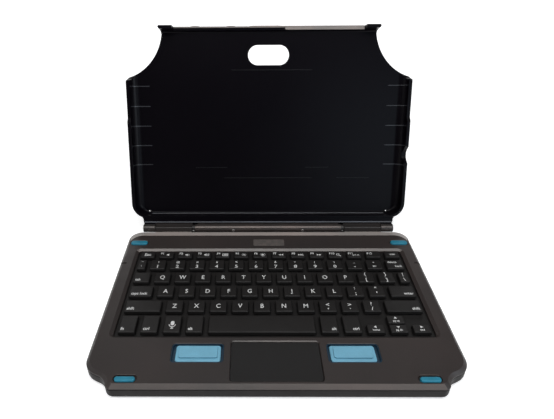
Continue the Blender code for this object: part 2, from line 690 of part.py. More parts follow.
def main():
    clear_scene()
    base = empty("base_frame", (0, BASE_REAR_Y, 0))
    axis = empty("cover_axis", (0, BASE_REAR_Y + AXIS_Y, AXIS_Z), COVER_LEAN)
    make_bottom_case(base)
    make_top_case(base)
    make_inner_pieces(base)
    make_screws(base)
    make_feet(base)
    make_touchpad(base)
    make_buttons(base)
    make_pads(base)
    make_keys(base)
    make_cover(axis)
    make_top_trim(axis)
    make_barrel(axis)
    make_shafts(axis)


main()
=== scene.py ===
"""Looks of the keyboard dock with a hinged tablet cover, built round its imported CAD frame.

Shapes are drawn in millimetres in two frames. The base frame has x = 0 on the centre line,
y = 0 at the base's rear face and z = 0 at the surface it stands on. The cover frame has its
origin on the hinge axis, z up along the cover and y towards its back.
"""

import json
import math

import bmesh
import bpy
from mathutils import Matrix, Vector


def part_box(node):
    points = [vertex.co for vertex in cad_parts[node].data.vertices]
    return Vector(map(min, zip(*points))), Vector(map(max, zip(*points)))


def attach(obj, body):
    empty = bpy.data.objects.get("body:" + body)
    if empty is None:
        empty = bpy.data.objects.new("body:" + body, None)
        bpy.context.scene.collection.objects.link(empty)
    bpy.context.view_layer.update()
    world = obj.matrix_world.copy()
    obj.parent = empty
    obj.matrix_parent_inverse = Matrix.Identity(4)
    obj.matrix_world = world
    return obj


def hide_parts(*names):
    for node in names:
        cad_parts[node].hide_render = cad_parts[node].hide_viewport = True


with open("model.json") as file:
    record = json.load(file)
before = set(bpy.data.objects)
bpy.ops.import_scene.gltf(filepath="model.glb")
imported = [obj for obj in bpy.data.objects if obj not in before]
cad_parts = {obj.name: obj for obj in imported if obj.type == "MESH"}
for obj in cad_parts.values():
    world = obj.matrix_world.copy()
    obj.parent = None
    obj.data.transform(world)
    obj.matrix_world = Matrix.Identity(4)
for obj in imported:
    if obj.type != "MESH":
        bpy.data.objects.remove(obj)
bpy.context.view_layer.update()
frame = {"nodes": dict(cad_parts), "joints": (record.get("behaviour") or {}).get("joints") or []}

MM = 0.001
PAST = 1.0
GAP = 0.3
SHARP_DEGREES = 32

# Base
BASE_HALF_WIDTH = 130.0
BASE_DEPTH = 176.0
REAR_CORNER_R = 11.0
SHOULDER_Y = -160.3
SHOULDER_R = 13.0
NOSE_OUTER_R = 5.0
NOSE_NECK_X, NOSE_NECK_Y, NOSE_NECK_R = 114.8, -167.3, 12.0
NOSE_SLANT = 0.379
CASE_BOTTOM_Z = 1.0
CASE_WALL = 2.0
CASE_FLOOR_Z = 2.6
PARTING_Z = 9.6
DECK_SIDE_Z = 10.6
DECK_Z = 13.0
DECK_SIDE_BEVEL = 2.4
DECK_REAR_BEVEL = 8.4
SIDE_MARK = (124.3, -49.6, 0.8)
TROUGH_HALF_LENGTH = 73.0
TROUGH_R = 4.1
BADGE = (14.0, -24.6, -15.4)

# Keyboard
PITCH = 16.86
KEYBOARD_HALF_WIDTH = 6.875 * PITCH
NUMBER_ROW_Y = -52.6
FUNCTION_ROW_DEPTH = 0.865 * PITCH
KEY_BOTTOM_Z = 10.8
KEY_TOP_Z = 13.4
KEY_SIDE_GAP = 3.4
KEY_FRONT_GAP = 3.9
KEY_SHIFT = 0.7
FUNCTION_KEY = (8.4, -1.4)
BOTTOM_KEY = (17.6, -1.2)
WELL = (117.0, -132.6, -31.2)
WELL_LIP = 2.6
WELL_FRONT_LIP = 1.8
WELL_REAR_LIP = 2.1
WELL_LIP_DEPTH = 1.5
MAT_Z = (7.6, 9.3)
MAT_OVERLAP = 2.4
PRINT_DEPTH = 0.02

# Touchpad, pointer buttons and rest pads
TOUCHPAD = (31.0, -171.6, -138.0)
TOUCHPAD_Z = (9.3, 12.5)
BUTTON_X = 54.0
BUTTON_CAP_X = 53.5
BUTTON_Y = -148.1
BUTTON_POCKET = (18.2, 8.3)
BUTTON_FLANGE = (15.7, 7.1)
BUTTON_PLATEAU = (13.4, 4.9)
BUTTON_POCKET_Z = 10.5
BUTTON_LEVELS_Z = (11.4, 12.3, 13.3)
PAD_PROUD = 1.2
PAD_SINK = 1.4
PAD_SLOTS = {"rear": (118.6, -20.2, 7.8, 3.3), "front": (99.8, -169.6, 7.6, 2.7)}
PADS = {"rear": (118.6, -20.6, 7.6, 2.8), "front": (99.8, -170.3, 6.9, 2.0)}

# Underside
SCREW_PLACES = ((-112.0, -22.0), (112.0, -22.0), (-92.0, -150.0), (92.0, -150.0))
SCREW_HEAD_R = 2.6
FOOT_HALF_LENGTH = 98.0
FOOT_HALF_WIDTH = 4.0
FOOT_TOP_Z = 1.5
FOOT_PLACES_Y = {"rear_foot": -12.0, "front_foot": -160.0}
FOOT_GROOVE = (2.0, 0.25, 0.3)
UNDER_PANEL = ((0, -86.0), 46.0, 17.0, 3.0)
UNDER_PANEL_DEPTH = 0.35

# Hinge
AXIS_Y = 5.2
AXIS_Z = 11.8
COVER_LEAN = math.radians(19.2)
POST_X = (72.5, 107.6)
POST_HALF = 4.2
POST_TOP = 3.5
POST_FOOT_Y = (-4.0, 0.4, 7.6)
POST_FOOT_Z = 5.0
POST_R = 1.3
KNUCKLE_X = (108.0, 119.4)
KNUCKLE_R = 3.9
BARREL_HALF_LENGTH = 69.8
BARREL_R = 3.7
SHAFT_R = 1.6

# Cover
COVER_HALF_WIDTH = 130.0
COVER_TOP_Z = 184.9
COVER_CORNER_R = 14.0
COVER_BACK_Y = 14.0
COVER_FLOOR_Y = 12.0
COVER_RIM_Y = 1.6
COVER_WALL = 2.0
COVER_SIDE_WALL = 3.0
RAIL_HALF_WIDTH = 119.8
RAIL_BOTTOM_Z = 5.4
BAY_BOTTOM_Z = 11.8
SHELL_BOTTOM_Z = 9.6
SIDE_TOP_Z = 140.4
SCOOP_CENTRE = (142.6, 184.2)
SCOOP_R = 46.0
HORN_TIP_X = 98.6
HORN_INNER_X = 86.0
TOP_WALL_Z = 181.8
LOW_RIM_FROM_Z = 103.0
LOW_RIM_Y = 4.4
PORT_NOTCH_Z = (62.0, 77.0)
WINDOW_Z = 159.9
WINDOW_SIZE = (18.7, 8.8)
RIB_FIRST_Z = 60.0
RIB_PITCH = 18.2
RIB_COUNT = 5
RIB_INNER_X = 109.5
TRIM_SEAT_Z = 183.0
TRIM_FRONT_Y = 9.0
TRIM_BACK_Y = 12.1
SIDE_FILLET = 8.0
SKIRT = (116.0, 12.2, 13.8, -1.2, 7.0)
CORNER_HOLE = (115.6, 14.1, 0.8)
BACK_PANEL = ((0, 92.0), 100.0, 40.0, 6.0)
BACK_PANEL_DEPTH = 0.5
RIB_HALF_WIDTH = 0.4
RIB_PROUD = 0.45
FLOOR_STEPS = ((146.9, -34, 40), (57.0, -69, -39), (57.0, 36, 58), (46.9, -42, 42),
               (46.9, 66, 97))
TRIM_HALF_LENGTH = 85.6
TRIM_BUMPS = (-34.0, -66.0)
TRIM_FACE = (50.0, 35.4, 1.7, 0.8)
SCREW_AIM = math.radians(20)
BARREL_SCREW = (33.0, 1.3)
KNUCKLE_SCREW = (113.6, 1.5)
COLLAR_SCREW = (71.2, 0.95)
COLLAR_R = 3.3

BASE_PLACE = Matrix.Translation((0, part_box("bottom_case")[1].y, 0)) @ Matrix.Scale(MM, 4)
HINGE = next(joint for joint in frame["joints"] if joint["name"] == "cover_hinge")
COVER_PLACE = (Matrix.Translation(HINGE["pos_m"]) @ Matrix.Rotation(-COVER_LEAN, 4, "X")
               @ Matrix.Scale(MM, 4))


# ---------------------------------------------------------------- outlines and solids

def rounded(corners, step=7.5):
    """A closed outline through (x, y, radius) corners, each turned as an arc."""
    points = []
    for i, (x, y, radius) in enumerate(corners):
        here = Vector((x, y))
        if radius <= 0:
            points.append((x, y))
            continue
        before = (Vector(corners[i - 1][:2]) - here).normalized()
        after = (Vector(corners[(i + 1) % len(corners)][:2]) - here).normalized()
        opening = before.angle(after)
        turn = math.pi - opening
        centre = here + (before + after).normalized() * radius / math.sin(opening / 2)
        first = here + before * radius / math.tan(opening / 2) - centre
        way = 1 if before.x * after.y - before.y * after.x < 0 else -1
        count = max(2, round(math.degrees(turn) / step))
        for k in range(count + 1):
            angle = way * turn * k / count
            points.append((centre.x + first.x * math.cos(angle) - first.y * math.sin(angle),
                           centre.y + first.x * math.sin(angle) + first.y * math.cos(angle)))
    return [p for i, p in enumerate(points) if math.dist(p, points[i - 1]) > 1e-4]


def mirrored(half):
    return half + [(-x, y, radius) for x, y, radius in reversed(half)]


def box_outline(x0, x1, y0, y1, radius=0.0, step=15.0):
    corners = [(x0, y0, radius), (x1, y0, radius), (x1, y1, radius), (x0, y1, radius)]
    return rounded(corners, step)


def around(centre, half_w, half_h, radius, step=15.0):
    """A rounded box outline as a function of how far it is drawn in."""
    x, y = centre

    def ring(inset):
        turn = min(max(radius - inset, 0.1), half_w - inset - 0.01, half_h - inset - 0.01)
        return box_outline(x - half_w + inset, x + half_w - inset,
                           y - half_h + inset, y + half_h - inset, turn, step)
    return ring


def circle(radius, centre=(0, 0), sides=32):
    turns = [math.tau * k / sides for k in range(sides)]
    return [(centre[0] + radius * math.cos(a), centre[1] + radius * math.sin(a)) for a in turns]


def disc(radius, centre=(0, 0), sides=32):
    return lambda inset: circle(radius - inset, centre, sides)


def upright(u, v, w):
    return (u, v, w)


def along_x(u, v, w):
    """Outline in y and z, run along x."""
    return (w, u, v)


def along_y(u, v, w):
    """Outline in x and z, run along y."""
    return (u, w, v)


def loft(levels, body=None, place=upright):
    """A closed body through outlines of equal length, (w, outline) from first to last."""
    body = body or bmesh.new()
    rings = [[body.verts.new(place(u, v, w)) for u, v in outline] for w, outline in levels]
    for lower, upper in zip(rings, rings[1:]):
        for i in range(len(lower)):
            j = (i + 1) % len(lower)
            body.faces.new((lower[i], lower[j], upper[j], upper[i]))
    body.faces.new(list(reversed(rings[0])))
    body.faces.new(rings[-1])
    return body


def prism(outline, low, high, body=None, place=upright):
    return loft([(low, outline), (high, outline)], body, place)


def block(x0, x1, y0, y1, z0, z1, body=None):
    return prism([(x0, y0), (x1, y0), (x1, y1), (x0, y1)], z0, z1, body)


def soft_prism(ring, low, high, low_r=0.0, high_r=0.0, body=None, place=upright, steps=4):
    """A prism whose first and last edges are rounded. ring(inset) gives its outline."""
    turns = [math.pi / 2 * k / steps for k in range(steps + 1)]
    levels = [(low + low_r * (1 - math.cos(a)), low_r * (1 - math.sin(a))) for a in turns]
    levels += [(high - high_r * (1 - math.sin(a)), high_r * (1 - math.cos(a))) for a in turns]
    kept = [level for i, level in enumerate(levels)
            if i == 0 or math.dist(level, levels[i - 1]) > 1e-5]
    return loft([(w, ring(inset)) for w, inset in kept], body, place)


def opening(ring, floor, surface, lip, body=None, place=upright, up=1):
    """A cutter from a floor out through a surface, with a broken edge as wide as its lip."""
    levels = [(floor, 0.0), (surface - up * lip, 0.0), (surface - up * lip * 0.3, -lip * 0.3),
              (surface, -lip), (surface + up * PAST, -lip - PAST)]
    return loft([(w, ring(inset)) for w, inset in levels], body, place)


def raw_object(name, body):
    bmesh.ops.recalc_face_normals(body, faces=body.faces)
    data = bpy.data.meshes.new(name)
    body.to_mesh(data)
    body.free()
    made = bpy.data.objects.new(name, data)
    bpy.context.scene.collection.objects.link(made)
    return made


def combined(body, *steps):
    """The closed body after (operation, closed body) steps, as a new bmesh."""
    target = raw_object("target", body)
    for operation, other in steps:
        helper = raw_object("helper", other)
        boolean = target.modifiers.new("step", "BOOLEAN")
        boolean.operation = operation
        boolean.solver = "EXACT"
        boolean.object = helper
        evaluated = target.evaluated_get(bpy.context.evaluated_depsgraph_get())
        data = bpy.data.meshes.new_from_object(evaluated)
        target.modifiers.clear()
        target.data = data
        bpy.data.objects.remove(helper)
    result = bmesh.new()
    result.from_mesh(target.data)
    bpy.data.objects.remove(target)
    return result


def piece(name, body, materials, rides_on, stands_for=(), place=BASE_PLACE):
    """Writes a body in its frame's millimetres as a piece of the object, in metres."""
    made = raw_object(name, body)
    data = made.data
    data.transform(place)
    for material in [materials] if isinstance(materials, str) else materials:
        data.materials.append(MATERIALS[material])
    data.shade_smooth()
    data.set_sharp_from_angle(angle=math.radians(SHARP_DEGREES))
    normals = made.modifiers.new("even_normals", "WEIGHTED_NORMAL")
    normals.keep_sharp = True
    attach(made, rides_on)
    if stands_for:
        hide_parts(*stands_for)
    return made


def cover_piece(name, body, materials, stands_for=()):
    return piece(name, body, materials, "cover", stands_for, COVER_PLACE)


def span(side, near, far):
    """The stretch between two distances from the centre line, on one side of it."""
    return sorted((side * near, side * far))


# ---------------------------------------------------------------- materials

class Finish:
    """A moulded, printed or machined surface, with its grain and colour from noise."""

    def __init__(self, name, colour, roughness, metallic=0.0, specular=0.5):
        self.material = bpy.data.materials.new(name)
        self.material.use_nodes = True
        self.tree = self.material.node_tree
        self.shader = self.tree.nodes["Principled BSDF"]
        self.colour = colour
        self.roughness = roughness
        self.shader.inputs["Base Color"].default_value = (*colour, 1.0)
        self.shader.inputs["Metallic"].default_value = metallic
        self.shader.inputs["Specular IOR Level"].default_value = specular
        self.coords = self.node("ShaderNodeTexCoord").outputs["Object"]

    def node(self, kind, **values):
        made = self.tree.nodes.new(kind)
        for key, value in values.items():
            if key in made.inputs:
                made.inputs[key].default_value = value
            else:
                setattr(made, key, value)
        return made

    def link(self, source, target):
        self.tree.links.new(source, target)

    def noise(self, scale, detail=2.0, stretch=None):
        made = self.node("ShaderNodeTexNoise", Scale=scale, Detail=detail)
        if stretch:
            mapping = self.node("ShaderNodeMapping", Scale=stretch)
            self.link(self.coords, mapping.inputs["Vector"])
            self.link(mapping.outputs["Vector"], made.inputs["Vector"])
        else:
            self.link(self.coords, made.inputs["Vector"])
        return made.outputs["Fac"]

    def spread(self, source, low, high, first=0.3, last=0.7):
        made = self.node("ShaderNodeMapRange")
        for socket, value in zip(("From Min", "From Max", "To Min", "To Max"),
                                 (first, last, low, high)):
            made.inputs[socket].default_value = value
        self.link(source, made.inputs["Value"])
        return made.outputs["Result"]

    def multiplied(self, colour, grey):
        """Makes a colour times a grey the surface's colour."""
        made = self.node("ShaderNodeMix", data_type="RGBA", blend_type="MULTIPLY")
        made.inputs["Factor"].default_value = 1.0
        self.link(colour, made.inputs[6])
        self.link(grey, made.inputs[7])
        self.link(made.outputs[2], self.shader.inputs["Base Color"])
        return made.outputs[2]

    def mottle(self, scale, amount, tint=(1.0, 1.0, 1.0), fine_scale=1800.0, fine=0.06):
        """Colour that drifts over the surface, with a fine speckle of the moulding grain."""
        ramp = self.node("ShaderNodeValToRGB")
        ramp.color_ramp.elements[0].position = 0.3
        ramp.color_ramp.elements[1].position = 0.7
        dark = [c * (1 - amount) for c in self.colour]
        light = [c * (1 + amount) * t for c, t in zip(self.colour, tint)]
        ramp.color_ramp.elements[0].color = (*dark, 1.0)
        ramp.color_ramp.elements[1].color = (*light, 1.0)
        self.link(self.noise(scale, 3.0), ramp.inputs["Fac"])
        grey = self.spread(self.noise(fine_scale, 1.0), 1 - fine, 1 + fine)
        self.painted = self.multiplied(ramp.outputs["Color"], grey)
        return self

    def satin(self, scale, amount):
        """Roughness that varies, as from handling and moulding."""
        rough = self.spread(self.noise(scale, 4.0), self.roughness - amount,
                            self.roughness + amount)
        self.link(rough, self.shader.inputs["Roughness"])
        return self

    def grain(self, scale, depth_mm, detail=2.0, stretch=None):
        """Fine relief. The depth is in millimetres."""
        bump = self.node("ShaderNodeBump", Strength=1.0, Distance=depth_mm * MM)
        self.link(self.noise(scale, detail, stretch), bump.inputs["Height"])
        self.link(bump.outputs["Normal"], self.shader.inputs["Normal"])
        return self

    def worn_edges(self, radius_mm, gain):
        """Edges rubbed a little lighter, where the rounded normal leaves the true one."""
        soft = self.node("ShaderNodeBevel", samples=4, Radius=radius_mm * MM)
        true = self.node("ShaderNodeNewGeometry")
        dot = self.node("ShaderNodeVectorMath", operation="DOT_PRODUCT")
        self.link(soft.outputs["Normal"], dot.inputs[0])
        self.link(true.outputs["Normal"], dot.inputs[1])
        edge = self.spread(dot.outputs["Value"], gain, 1.0, 0.80, 0.99)
        self.multiplied(self.painted, edge)
        return self


# Name, colour, roughness, metallic, specular; then mottle, satin, grain and worn edges.
WARM = (1.10, 1.0, 0.97)
FINISHES = {
    "case": (("case_plastic", (0.0300, 0.0255, 0.0245), 0.45, 0.0, 0.3),
        (14, 0.10, WARM), (90, 0.05), (2400, 0.02), (0.5, 1.25)),
    # The deck's rear bevel: a far lighter copy of the case plastic, a painted highlight.
    "rim": (("case_rear_bevel_highlight", (0.340, 0.320, 0.305), 0.36, 0.0, 0.5),
        (20, 0.10, WARM), (120, 0.05), (2400, 0.012), ()),
    # The lip round the keyboard well and other front-facing slopes near the rear: a lighter copy
    # of the case plastic, painted highlight.
    "lip": (("well_lip_painted_highlight", (0.138, 0.129, 0.122), 0.40, 0.0, 0.4),
        (20, 0.10, WARM), (120, 0.05), (2400, 0.012), ()),
    # The deck's front bevel, the touchpad's lip and other front-facing slopes further forward: a
    # lighter copy of the case plastic, painted highlight.
    "edge": (("front_edge_painted_highlight", (0.078, 0.070, 0.066), 0.42, 0.0, 0.4),
        (20, 0.10, WARM), (120, 0.05), (2400, 0.012), ()),
    "lower_case": (("lower_case_plastic", (0.0080, 0.0070, 0.0067), 0.50, 0.0, 0.15),
        (16, 0.12, WARM), (80, 0.06), (1700, 0.03), (0.4, 1.3)),
    "post": (("hinge_post", (0.0170, 0.0150, 0.0145), 0.40, 0.0, 0.35),
        (40, 0.10, WARM), (120, 0.05), (2200, 0.015), (0.4, 1.2)),
    "knuckle": (("hinge_knuckle", (0.050, 0.046, 0.044), 0.34, 0.6, 0.5),
        (60, 0.12, WARM), (160, 0.05), (1800, 0.008), ()),
    # Grip ribs: far lighter than the black cover plastic they are moulded in, a painted highlight
    # on real ribs.
    "rib": (("cover_rib_painted_highlight", (0.0200, 0.0200, 0.0225), 0.34, 0.0, 0.5),
        (30, 0.20, (0.95, 1.0, 1.12)), (60, 0.05), (900, 0.004), ()),
    # Floor steps: a lighter copy of the cover plastic, a painted highlight on real steps.
    "step": (("cover_step_painted_highlight", (0.0036, 0.0036, 0.0046), 0.34, 0.0, 0.22),
        (30, 0.20, (0.95, 1.0, 1.12)), (60, 0.05), (900, 0.004), ()),
    # Beads: light strips laid along the rail's edge and the bay's lower fillet, painted highlight.
    "bead": (("cover_bead_highlight", (0.105, 0.105, 0.112), 0.30, 0.0, 0.5),
        (24, 0.18, (0.95, 1.0, 1.08)), (60, 0.05), (900, 0.004), ()),
    "cover": (("cover_plastic", (0.0016, 0.0010, 0.0021), 0.30, 0.0, 0.115),
        (3, 0.12, (0.95, 1.0, 1.15)), (12, 0.015), (900, 0.004), ()),
    "key": (("key_plastic", (0.0134, 0.0121, 0.0117), 0.50, 0.0, 0.28),
        (60, 0.08), (150, 0.05), (2600, 0.018), (0.4, 1.25)),
    # Key flanks: a darker copy of the key plastic, painted shade on the caps' sides.
    "key_side_shade": (("key_flank_shade", (0.0075, 0.0068, 0.0066), 0.60, 0.0, 0.15),
        (60, 0.10), (150, 0.05), (2600, 0.018), ()),
    "legend": (("legend_print", (0.62, 0.62, 0.61), 0.55, 0.0, 0.3),
        (900, 0.10), (400, 0.05), (4000, 0.004), ()),
    "mat": (("mat_silicone", (0.0106, 0.0096, 0.0093), 0.62, 0.0, 0.25),
        (45, 0.15), (110, 0.06), (1500, 0.02), ()),
    "touchpad": (("touchpad_glass", (0.0095, 0.0088, 0.0088), 0.38, 0.0, 0.3),
        (25, 0.06), (140, 0.04), (3200, 0.006), ()),
    "button": (("button_rubber", (0.158, 0.385, 0.520), 0.46, 0.0, 0.35),
        (110, 0.06), (220, 0.06), (2200, 0.02), ()),
    # Button flanks: a darker copy of the button rubber, painted shade.
    "button_side_shade": (("button_flank_shade", (0.050, 0.170, 0.250), 0.50, 0.0, 0.3),
        (110, 0.08), (220, 0.06), (2200, 0.02), ()),
    # Navy liner: a dark blue sheet lining the button pockets, painted shade round the caps.
    "navy": (("button_liner_shade", (0.008, 0.030, 0.055), 0.42, 0.0, 0.4),
        (70, 0.12), (150, 0.06), (2200, 0.015), ()),
    "pad": (("pad_rubber", (0.018, 0.180, 0.268), 0.46, 0.0, 0.3),
        (160, 0.10), (220, 0.07), (1900, 0.025), ()),
    "rubber": (("foot_rubber", (0.013, 0.013, 0.013), 0.80, 0.0, 0.3),
        (60, 0.18), (160, 0.06), (1300, 0.05), ()),
    "steel": (("brushed_steel", (0.50, 0.49, 0.48), 0.30, 1.0, 0.5),
        (300, 0.06), (500, 0.06), (900, 0.004, 2.0, (0.15, 4.0, 4.0)), ()),
    "barrel": (("barrel_anodised", (0.078, 0.069, 0.065), 0.36, 0.75, 0.5),
        (40, 0.10, WARM), (160, 0.05), (1500, 0.004, 2.0, (0.08, 3.0, 3.0)), ()),
    "trim": (("trim_paint", (0.180, 0.169, 0.159), 0.50, 0.0, 0.4),
        (60, 0.10, WARM), (150, 0.06), (1800, 0.02), (0.4, 1.15)),
    "badge": (("badge_plate", (0.120, 0.110, 0.104), 0.36, 0.3, 0.5),
        (220, 0.16, WARM), (420, 0.06), (1600, 0.006, 2.0, (0.1, 4.0, 1.0)), ()),
    "board": (("board_laminate", (0.018, 0.095, 0.045), 0.42, 0.0, 0.5),
        (140, 0.35, (0.8, 1.2, 0.8)), (200, 0.08), (700, 0.05), ()),
    "battery": (("battery_foil", (0.300, 0.310, 0.330), 0.40, 0.5, 0.5),
        (70, 0.12), (90, 0.10), (260, 0.12), ()),
}


def make_materials():
    made = {}
    for key, (base, mottle, satin, grain, worn) in FINISHES.items():
        finish = Finish(*base).mottle(*mottle).satin(*satin).grain(*grain)
        if worn:
            finish.worn_edges(*worn)
        made[key] = finish.material
    return made


MATERIALS = make_materials()


# ---------------------------------------------------------------- base

def base_outline(side=0.0, rear=0.0, front=0.0):
    """The base seen from above, drawn in by so much at its sides, rear and front."""
    front_y = -BASE_DEPTH + front
    neck_x, neck_y = NOSE_NECK_X - side, NOSE_NECK_Y + side * 0.4
    half = [
        (neck_x - (neck_y - front_y) * NOSE_SLANT, front_y, NOSE_OUTER_R),
        (neck_x, neck_y, NOSE_NECK_R),
        (BASE_HALF_WIDTH - side, SHOULDER_Y + side * 0.4, SHOULDER_R),
        (BASE_HALF_WIDTH - side, -rear, REAR_CORNER_R),
    ]
    return rounded(mirrored(half), 6.0)


def bevelled(share):
    """The deck's outline at a share of its bevel, 0 at the foot and 1 at the top."""
    return base_outline(DECK_SIDE_BEVEL * share, DECK_REAR_BEVEL * share, DECK_SIDE_BEVEL * share)


def pad_ring(pad, side, grow=0.0):
    x, y, half_l, half_w = pad
    return around((side * x, y), half_l + grow, half_w + grow, half_w + grow)


def post_ring(inset):
    """A hinge post seen from the side: a rounded block, with a foot under the bevel."""
    half = POST_HALF - inset
    turn = POST_R - inset
    top = AXIS_Z + POST_TOP - inset
    toe, rear, back = POST_FOOT_Y
    corners = [(AXIS_Y - half, top, turn), (AXIS_Y + half, top, turn),
               (AXIS_Y + half, AXIS_Z - 2.0, 0), (back - inset, POST_FOOT_Z + inset, 0),
               (rear + inset, POST_FOOT_Z + inset, 0), (rear + inset, PARTING_Z + 0.2, 0),
               (toe + inset, PARTING_Z + 0.2, 0), (toe + inset, DECK_SIDE_Z + 0.6, 0),
               (AXIS_Y - half, DECK_SIDE_Z - 0.3, 0)]
    return rounded(corners, 9.0)


def make_deck():
    rise = DECK_Z - DECK_SIDE_Z
    levels = [(PARTING_Z, base_outline(0.25, 0.25, 0.25)), (PARTING_Z + 0.25, base_outline())]
    for share, bend in ((-0.06, 0.0), (0.06, 0.03), (0.94, -0.03), (1.05, 0.0)):
        outline = bevelled(max(share, 0.0))
        height = DECK_SIDE_Z + rise * min(max(share, -0.06), 1.0) + rise * bend
        levels.append((height, outline))
    body = loft(levels)
    posts = bmesh.new()
    for side in (-1, 1):
        ends = span(side, *POST_X)
        soft_prism(post_ring, *ends, 0.5, 0.5, posts, along_x, 3)
    trough = prism(trough_outline(), -TROUGH_HALF_LENGTH, TROUGH_HALF_LENGTH, None, along_x)

    cuts = bmesh.new()
    lipped_opening(WELL, (WELL_LIP, WELL_FRONT_LIP, WELL_REAR_LIP), WELL_LIP_DEPTH, 2.4, cuts)
    lipped_opening(TOUCHPAD, (0.5, 0.5, 0.9), 0.5, 2.2, cuts)
    for side in (-1, 1):
        opening(around((side * BUTTON_X, BUTTON_Y), *BUTTON_POCKET, 2.6), BUTTON_POCKET_Z,
                DECK_Z, 0.4, cuts)
        for pad in PAD_SLOTS.values():
            opening(pad_ring(pad, side, GAP), DECK_Z - PAD_SINK - GAP, DECK_Z, 0.3, cuts)
        inner, mark_y, half = SIDE_MARK
        merge(cuts, block(*span(side, inner, BASE_HALF_WIDTH + PAST), mark_y - half,
                          mark_y + half, DECK_SIDE_Z + 0.3, DECK_Z + PAST))
    body = combined(body, ("UNION", posts), ("UNION", trough), ("DIFFERENCE", cuts))
    deck = piece("deck", body, ("case", "rim", "post", "lip", "edge"), "base",
                 ["top_case"])
    slope = math.degrees(math.atan2(rise, DECK_REAR_BEVEL))
    rear_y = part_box("bottom_case")[1].y
    for face in deck.data.polygons:
        behind = face.center.y > rear_y - (DECK_REAR_BEVEL + REAR_CORNER_R) * MM
        tilt = math.degrees(math.acos(max(-1.0, min(1.0, face.normal.z))))
        faces_back = face.normal.y > 0.1 and face.normal.y > abs(face.normal.x) * 0.2
        # Faces of the rear bevel take the lighter rear-bevel material: painted highlight.
        if behind and faces_back and slope * 0.5 < tilt < 60 and face.center.z < DECK_Z * MM:
            face.material_index = 1
        if face.normal.y < -0.25 and face.normal.z > 0.25 and face.center.y < rear_y:
            # Front-facing slopes near the well take the lighter lip material: painted highlight.
            if face.center.y > rear_y - 100 * MM:
                face.material_index = 3
            # Front-facing slopes further forward take the lighter front-edge material: painted
            # highlight.
            elif abs(face.normal.x) < 0.2:
                face.material_index = 4
        if face.center.y > rear_y + 0.6 * MM or face.center.z > (DECK_Z + 0.2) * MM:
            face.material_index = 2


def trough_outline():
    """The deck's rear edge between the posts, hollowed to pass close under the barrel."""
    under = [math.radians(290 - 9.5 * k) for k in range(11)]
    hollow = [(AXIS_Y + TROUGH_R * math.cos(a), AXIS_Z + TROUGH_R * math.sin(a)) for a in under]
    return [(-3.8, 9.75), (0.45, 9.75), (0.45, 5.5), (7.0, 5.5)] + hollow + [(-0.6, 10.7),
                                                                          (-3.8, 10.5)]


def lipped_opening(size, lips, depth, radius, body):
    """A cutter through the deck whose top edge slopes by its side, front and rear lips."""
    half_w, front, rear = size
    levels = []
    for z, share in ((PARTING_Z - PAST, 0.0), (DECK_Z - depth, 0.0), (DECK_Z - depth * 0.12, 0.9),
                     (DECK_Z, 1.0), (DECK_Z + PAST, 1.3)):
        side, near, far = (lip * share for lip in lips)
        levels.append((z, box_outline(-half_w - side, half_w + side, front - near, rear + far,
                                      radius + side)))
    loft(levels, body)


def merge(body, other):
    """Adds another closed body's faces to a body."""
    data = bpy.data.meshes.new("merged")
    other.to_mesh(data)
    other.free()
    body.from_mesh(data)
    bpy.data.meshes.remove(data)


def make_lower_case():
    levels = [(CASE_BOTTOM_Z, 2.6), (1.15, 1.9), (1.5, 1.2), (2.1, 0.6), (2.9, 0.2), (3.8, 0.0),
              (PARTING_Z - GAP - 0.25, 0.0), (PARTING_Z - GAP, 0.25)]
    body = loft([(z, base_outline(d, d, d)) for z, d in levels])
    wall = base_outline(CASE_WALL, CASE_WALL, CASE_WALL)
    cuts = prism(wall, CASE_FLOOR_Z, PARTING_Z + PAST)
    for x, y in SCREW_PLACES:
        opening(disc(SCREW_HEAD_R + GAP, (x, y)), CASE_FLOOR_Z - 0.2, CASE_BOTTOM_Z, 0.5, cuts,
                up=-1)
    for middle in FOOT_PLACES_Y.values():
        reach = FOOT_HALF_LENGTH + GAP
        width = FOOT_HALF_WIDTH + GAP
        opening(around((0, middle), reach, width, width), FOOT_TOP_Z + GAP, CASE_BOTTOM_Z, 0.25,
                cuts, up=-1)
    opening(around(*UNDER_PANEL), CASE_BOTTOM_Z + UNDER_PANEL_DEPTH, CASE_BOTTOM_Z, 0.3, cuts,
            up=-1)
    piece("lower_case", combined(body, ("DIFFERENCE", cuts)), "lower_case", "base",
          ["bottom_case"])


def make_feet():
    for name, y in FOOT_PLACES_Y.items():
        body = soft_prism(around((0, y), FOOT_HALF_LENGTH, FOOT_HALF_WIDTH, FOOT_HALF_WIDTH),
                          0.0, FOOT_TOP_Z, 0.45, 0.1)
        grooves = bmesh.new()
        pitch, half, depth = FOOT_GROOVE
        for k in (-1, 0, 1):
            block(-FOOT_HALF_LENGTH + 6, FOOT_HALF_LENGTH - 6, y + pitch * k - half,
                  y + pitch * k + half, -PAST, depth, grooves)
        piece(f"{name}_ribbed", combined(body, ("DIFFERENCE", grooves)), "rubber",
              "base", [name])


def make_touchpad():
    half_w, front, rear = TOUCHPAD
    ring = around((0, (front + rear) / 2), half_w - GAP, (rear - front) / 2 - GAP, 1.9)
    body = soft_prism(ring, *TOUCHPAD_Z, 0.1, 0.25)
    piece("touchpad_plate", body, "touchpad", "base", ["touchpad"])


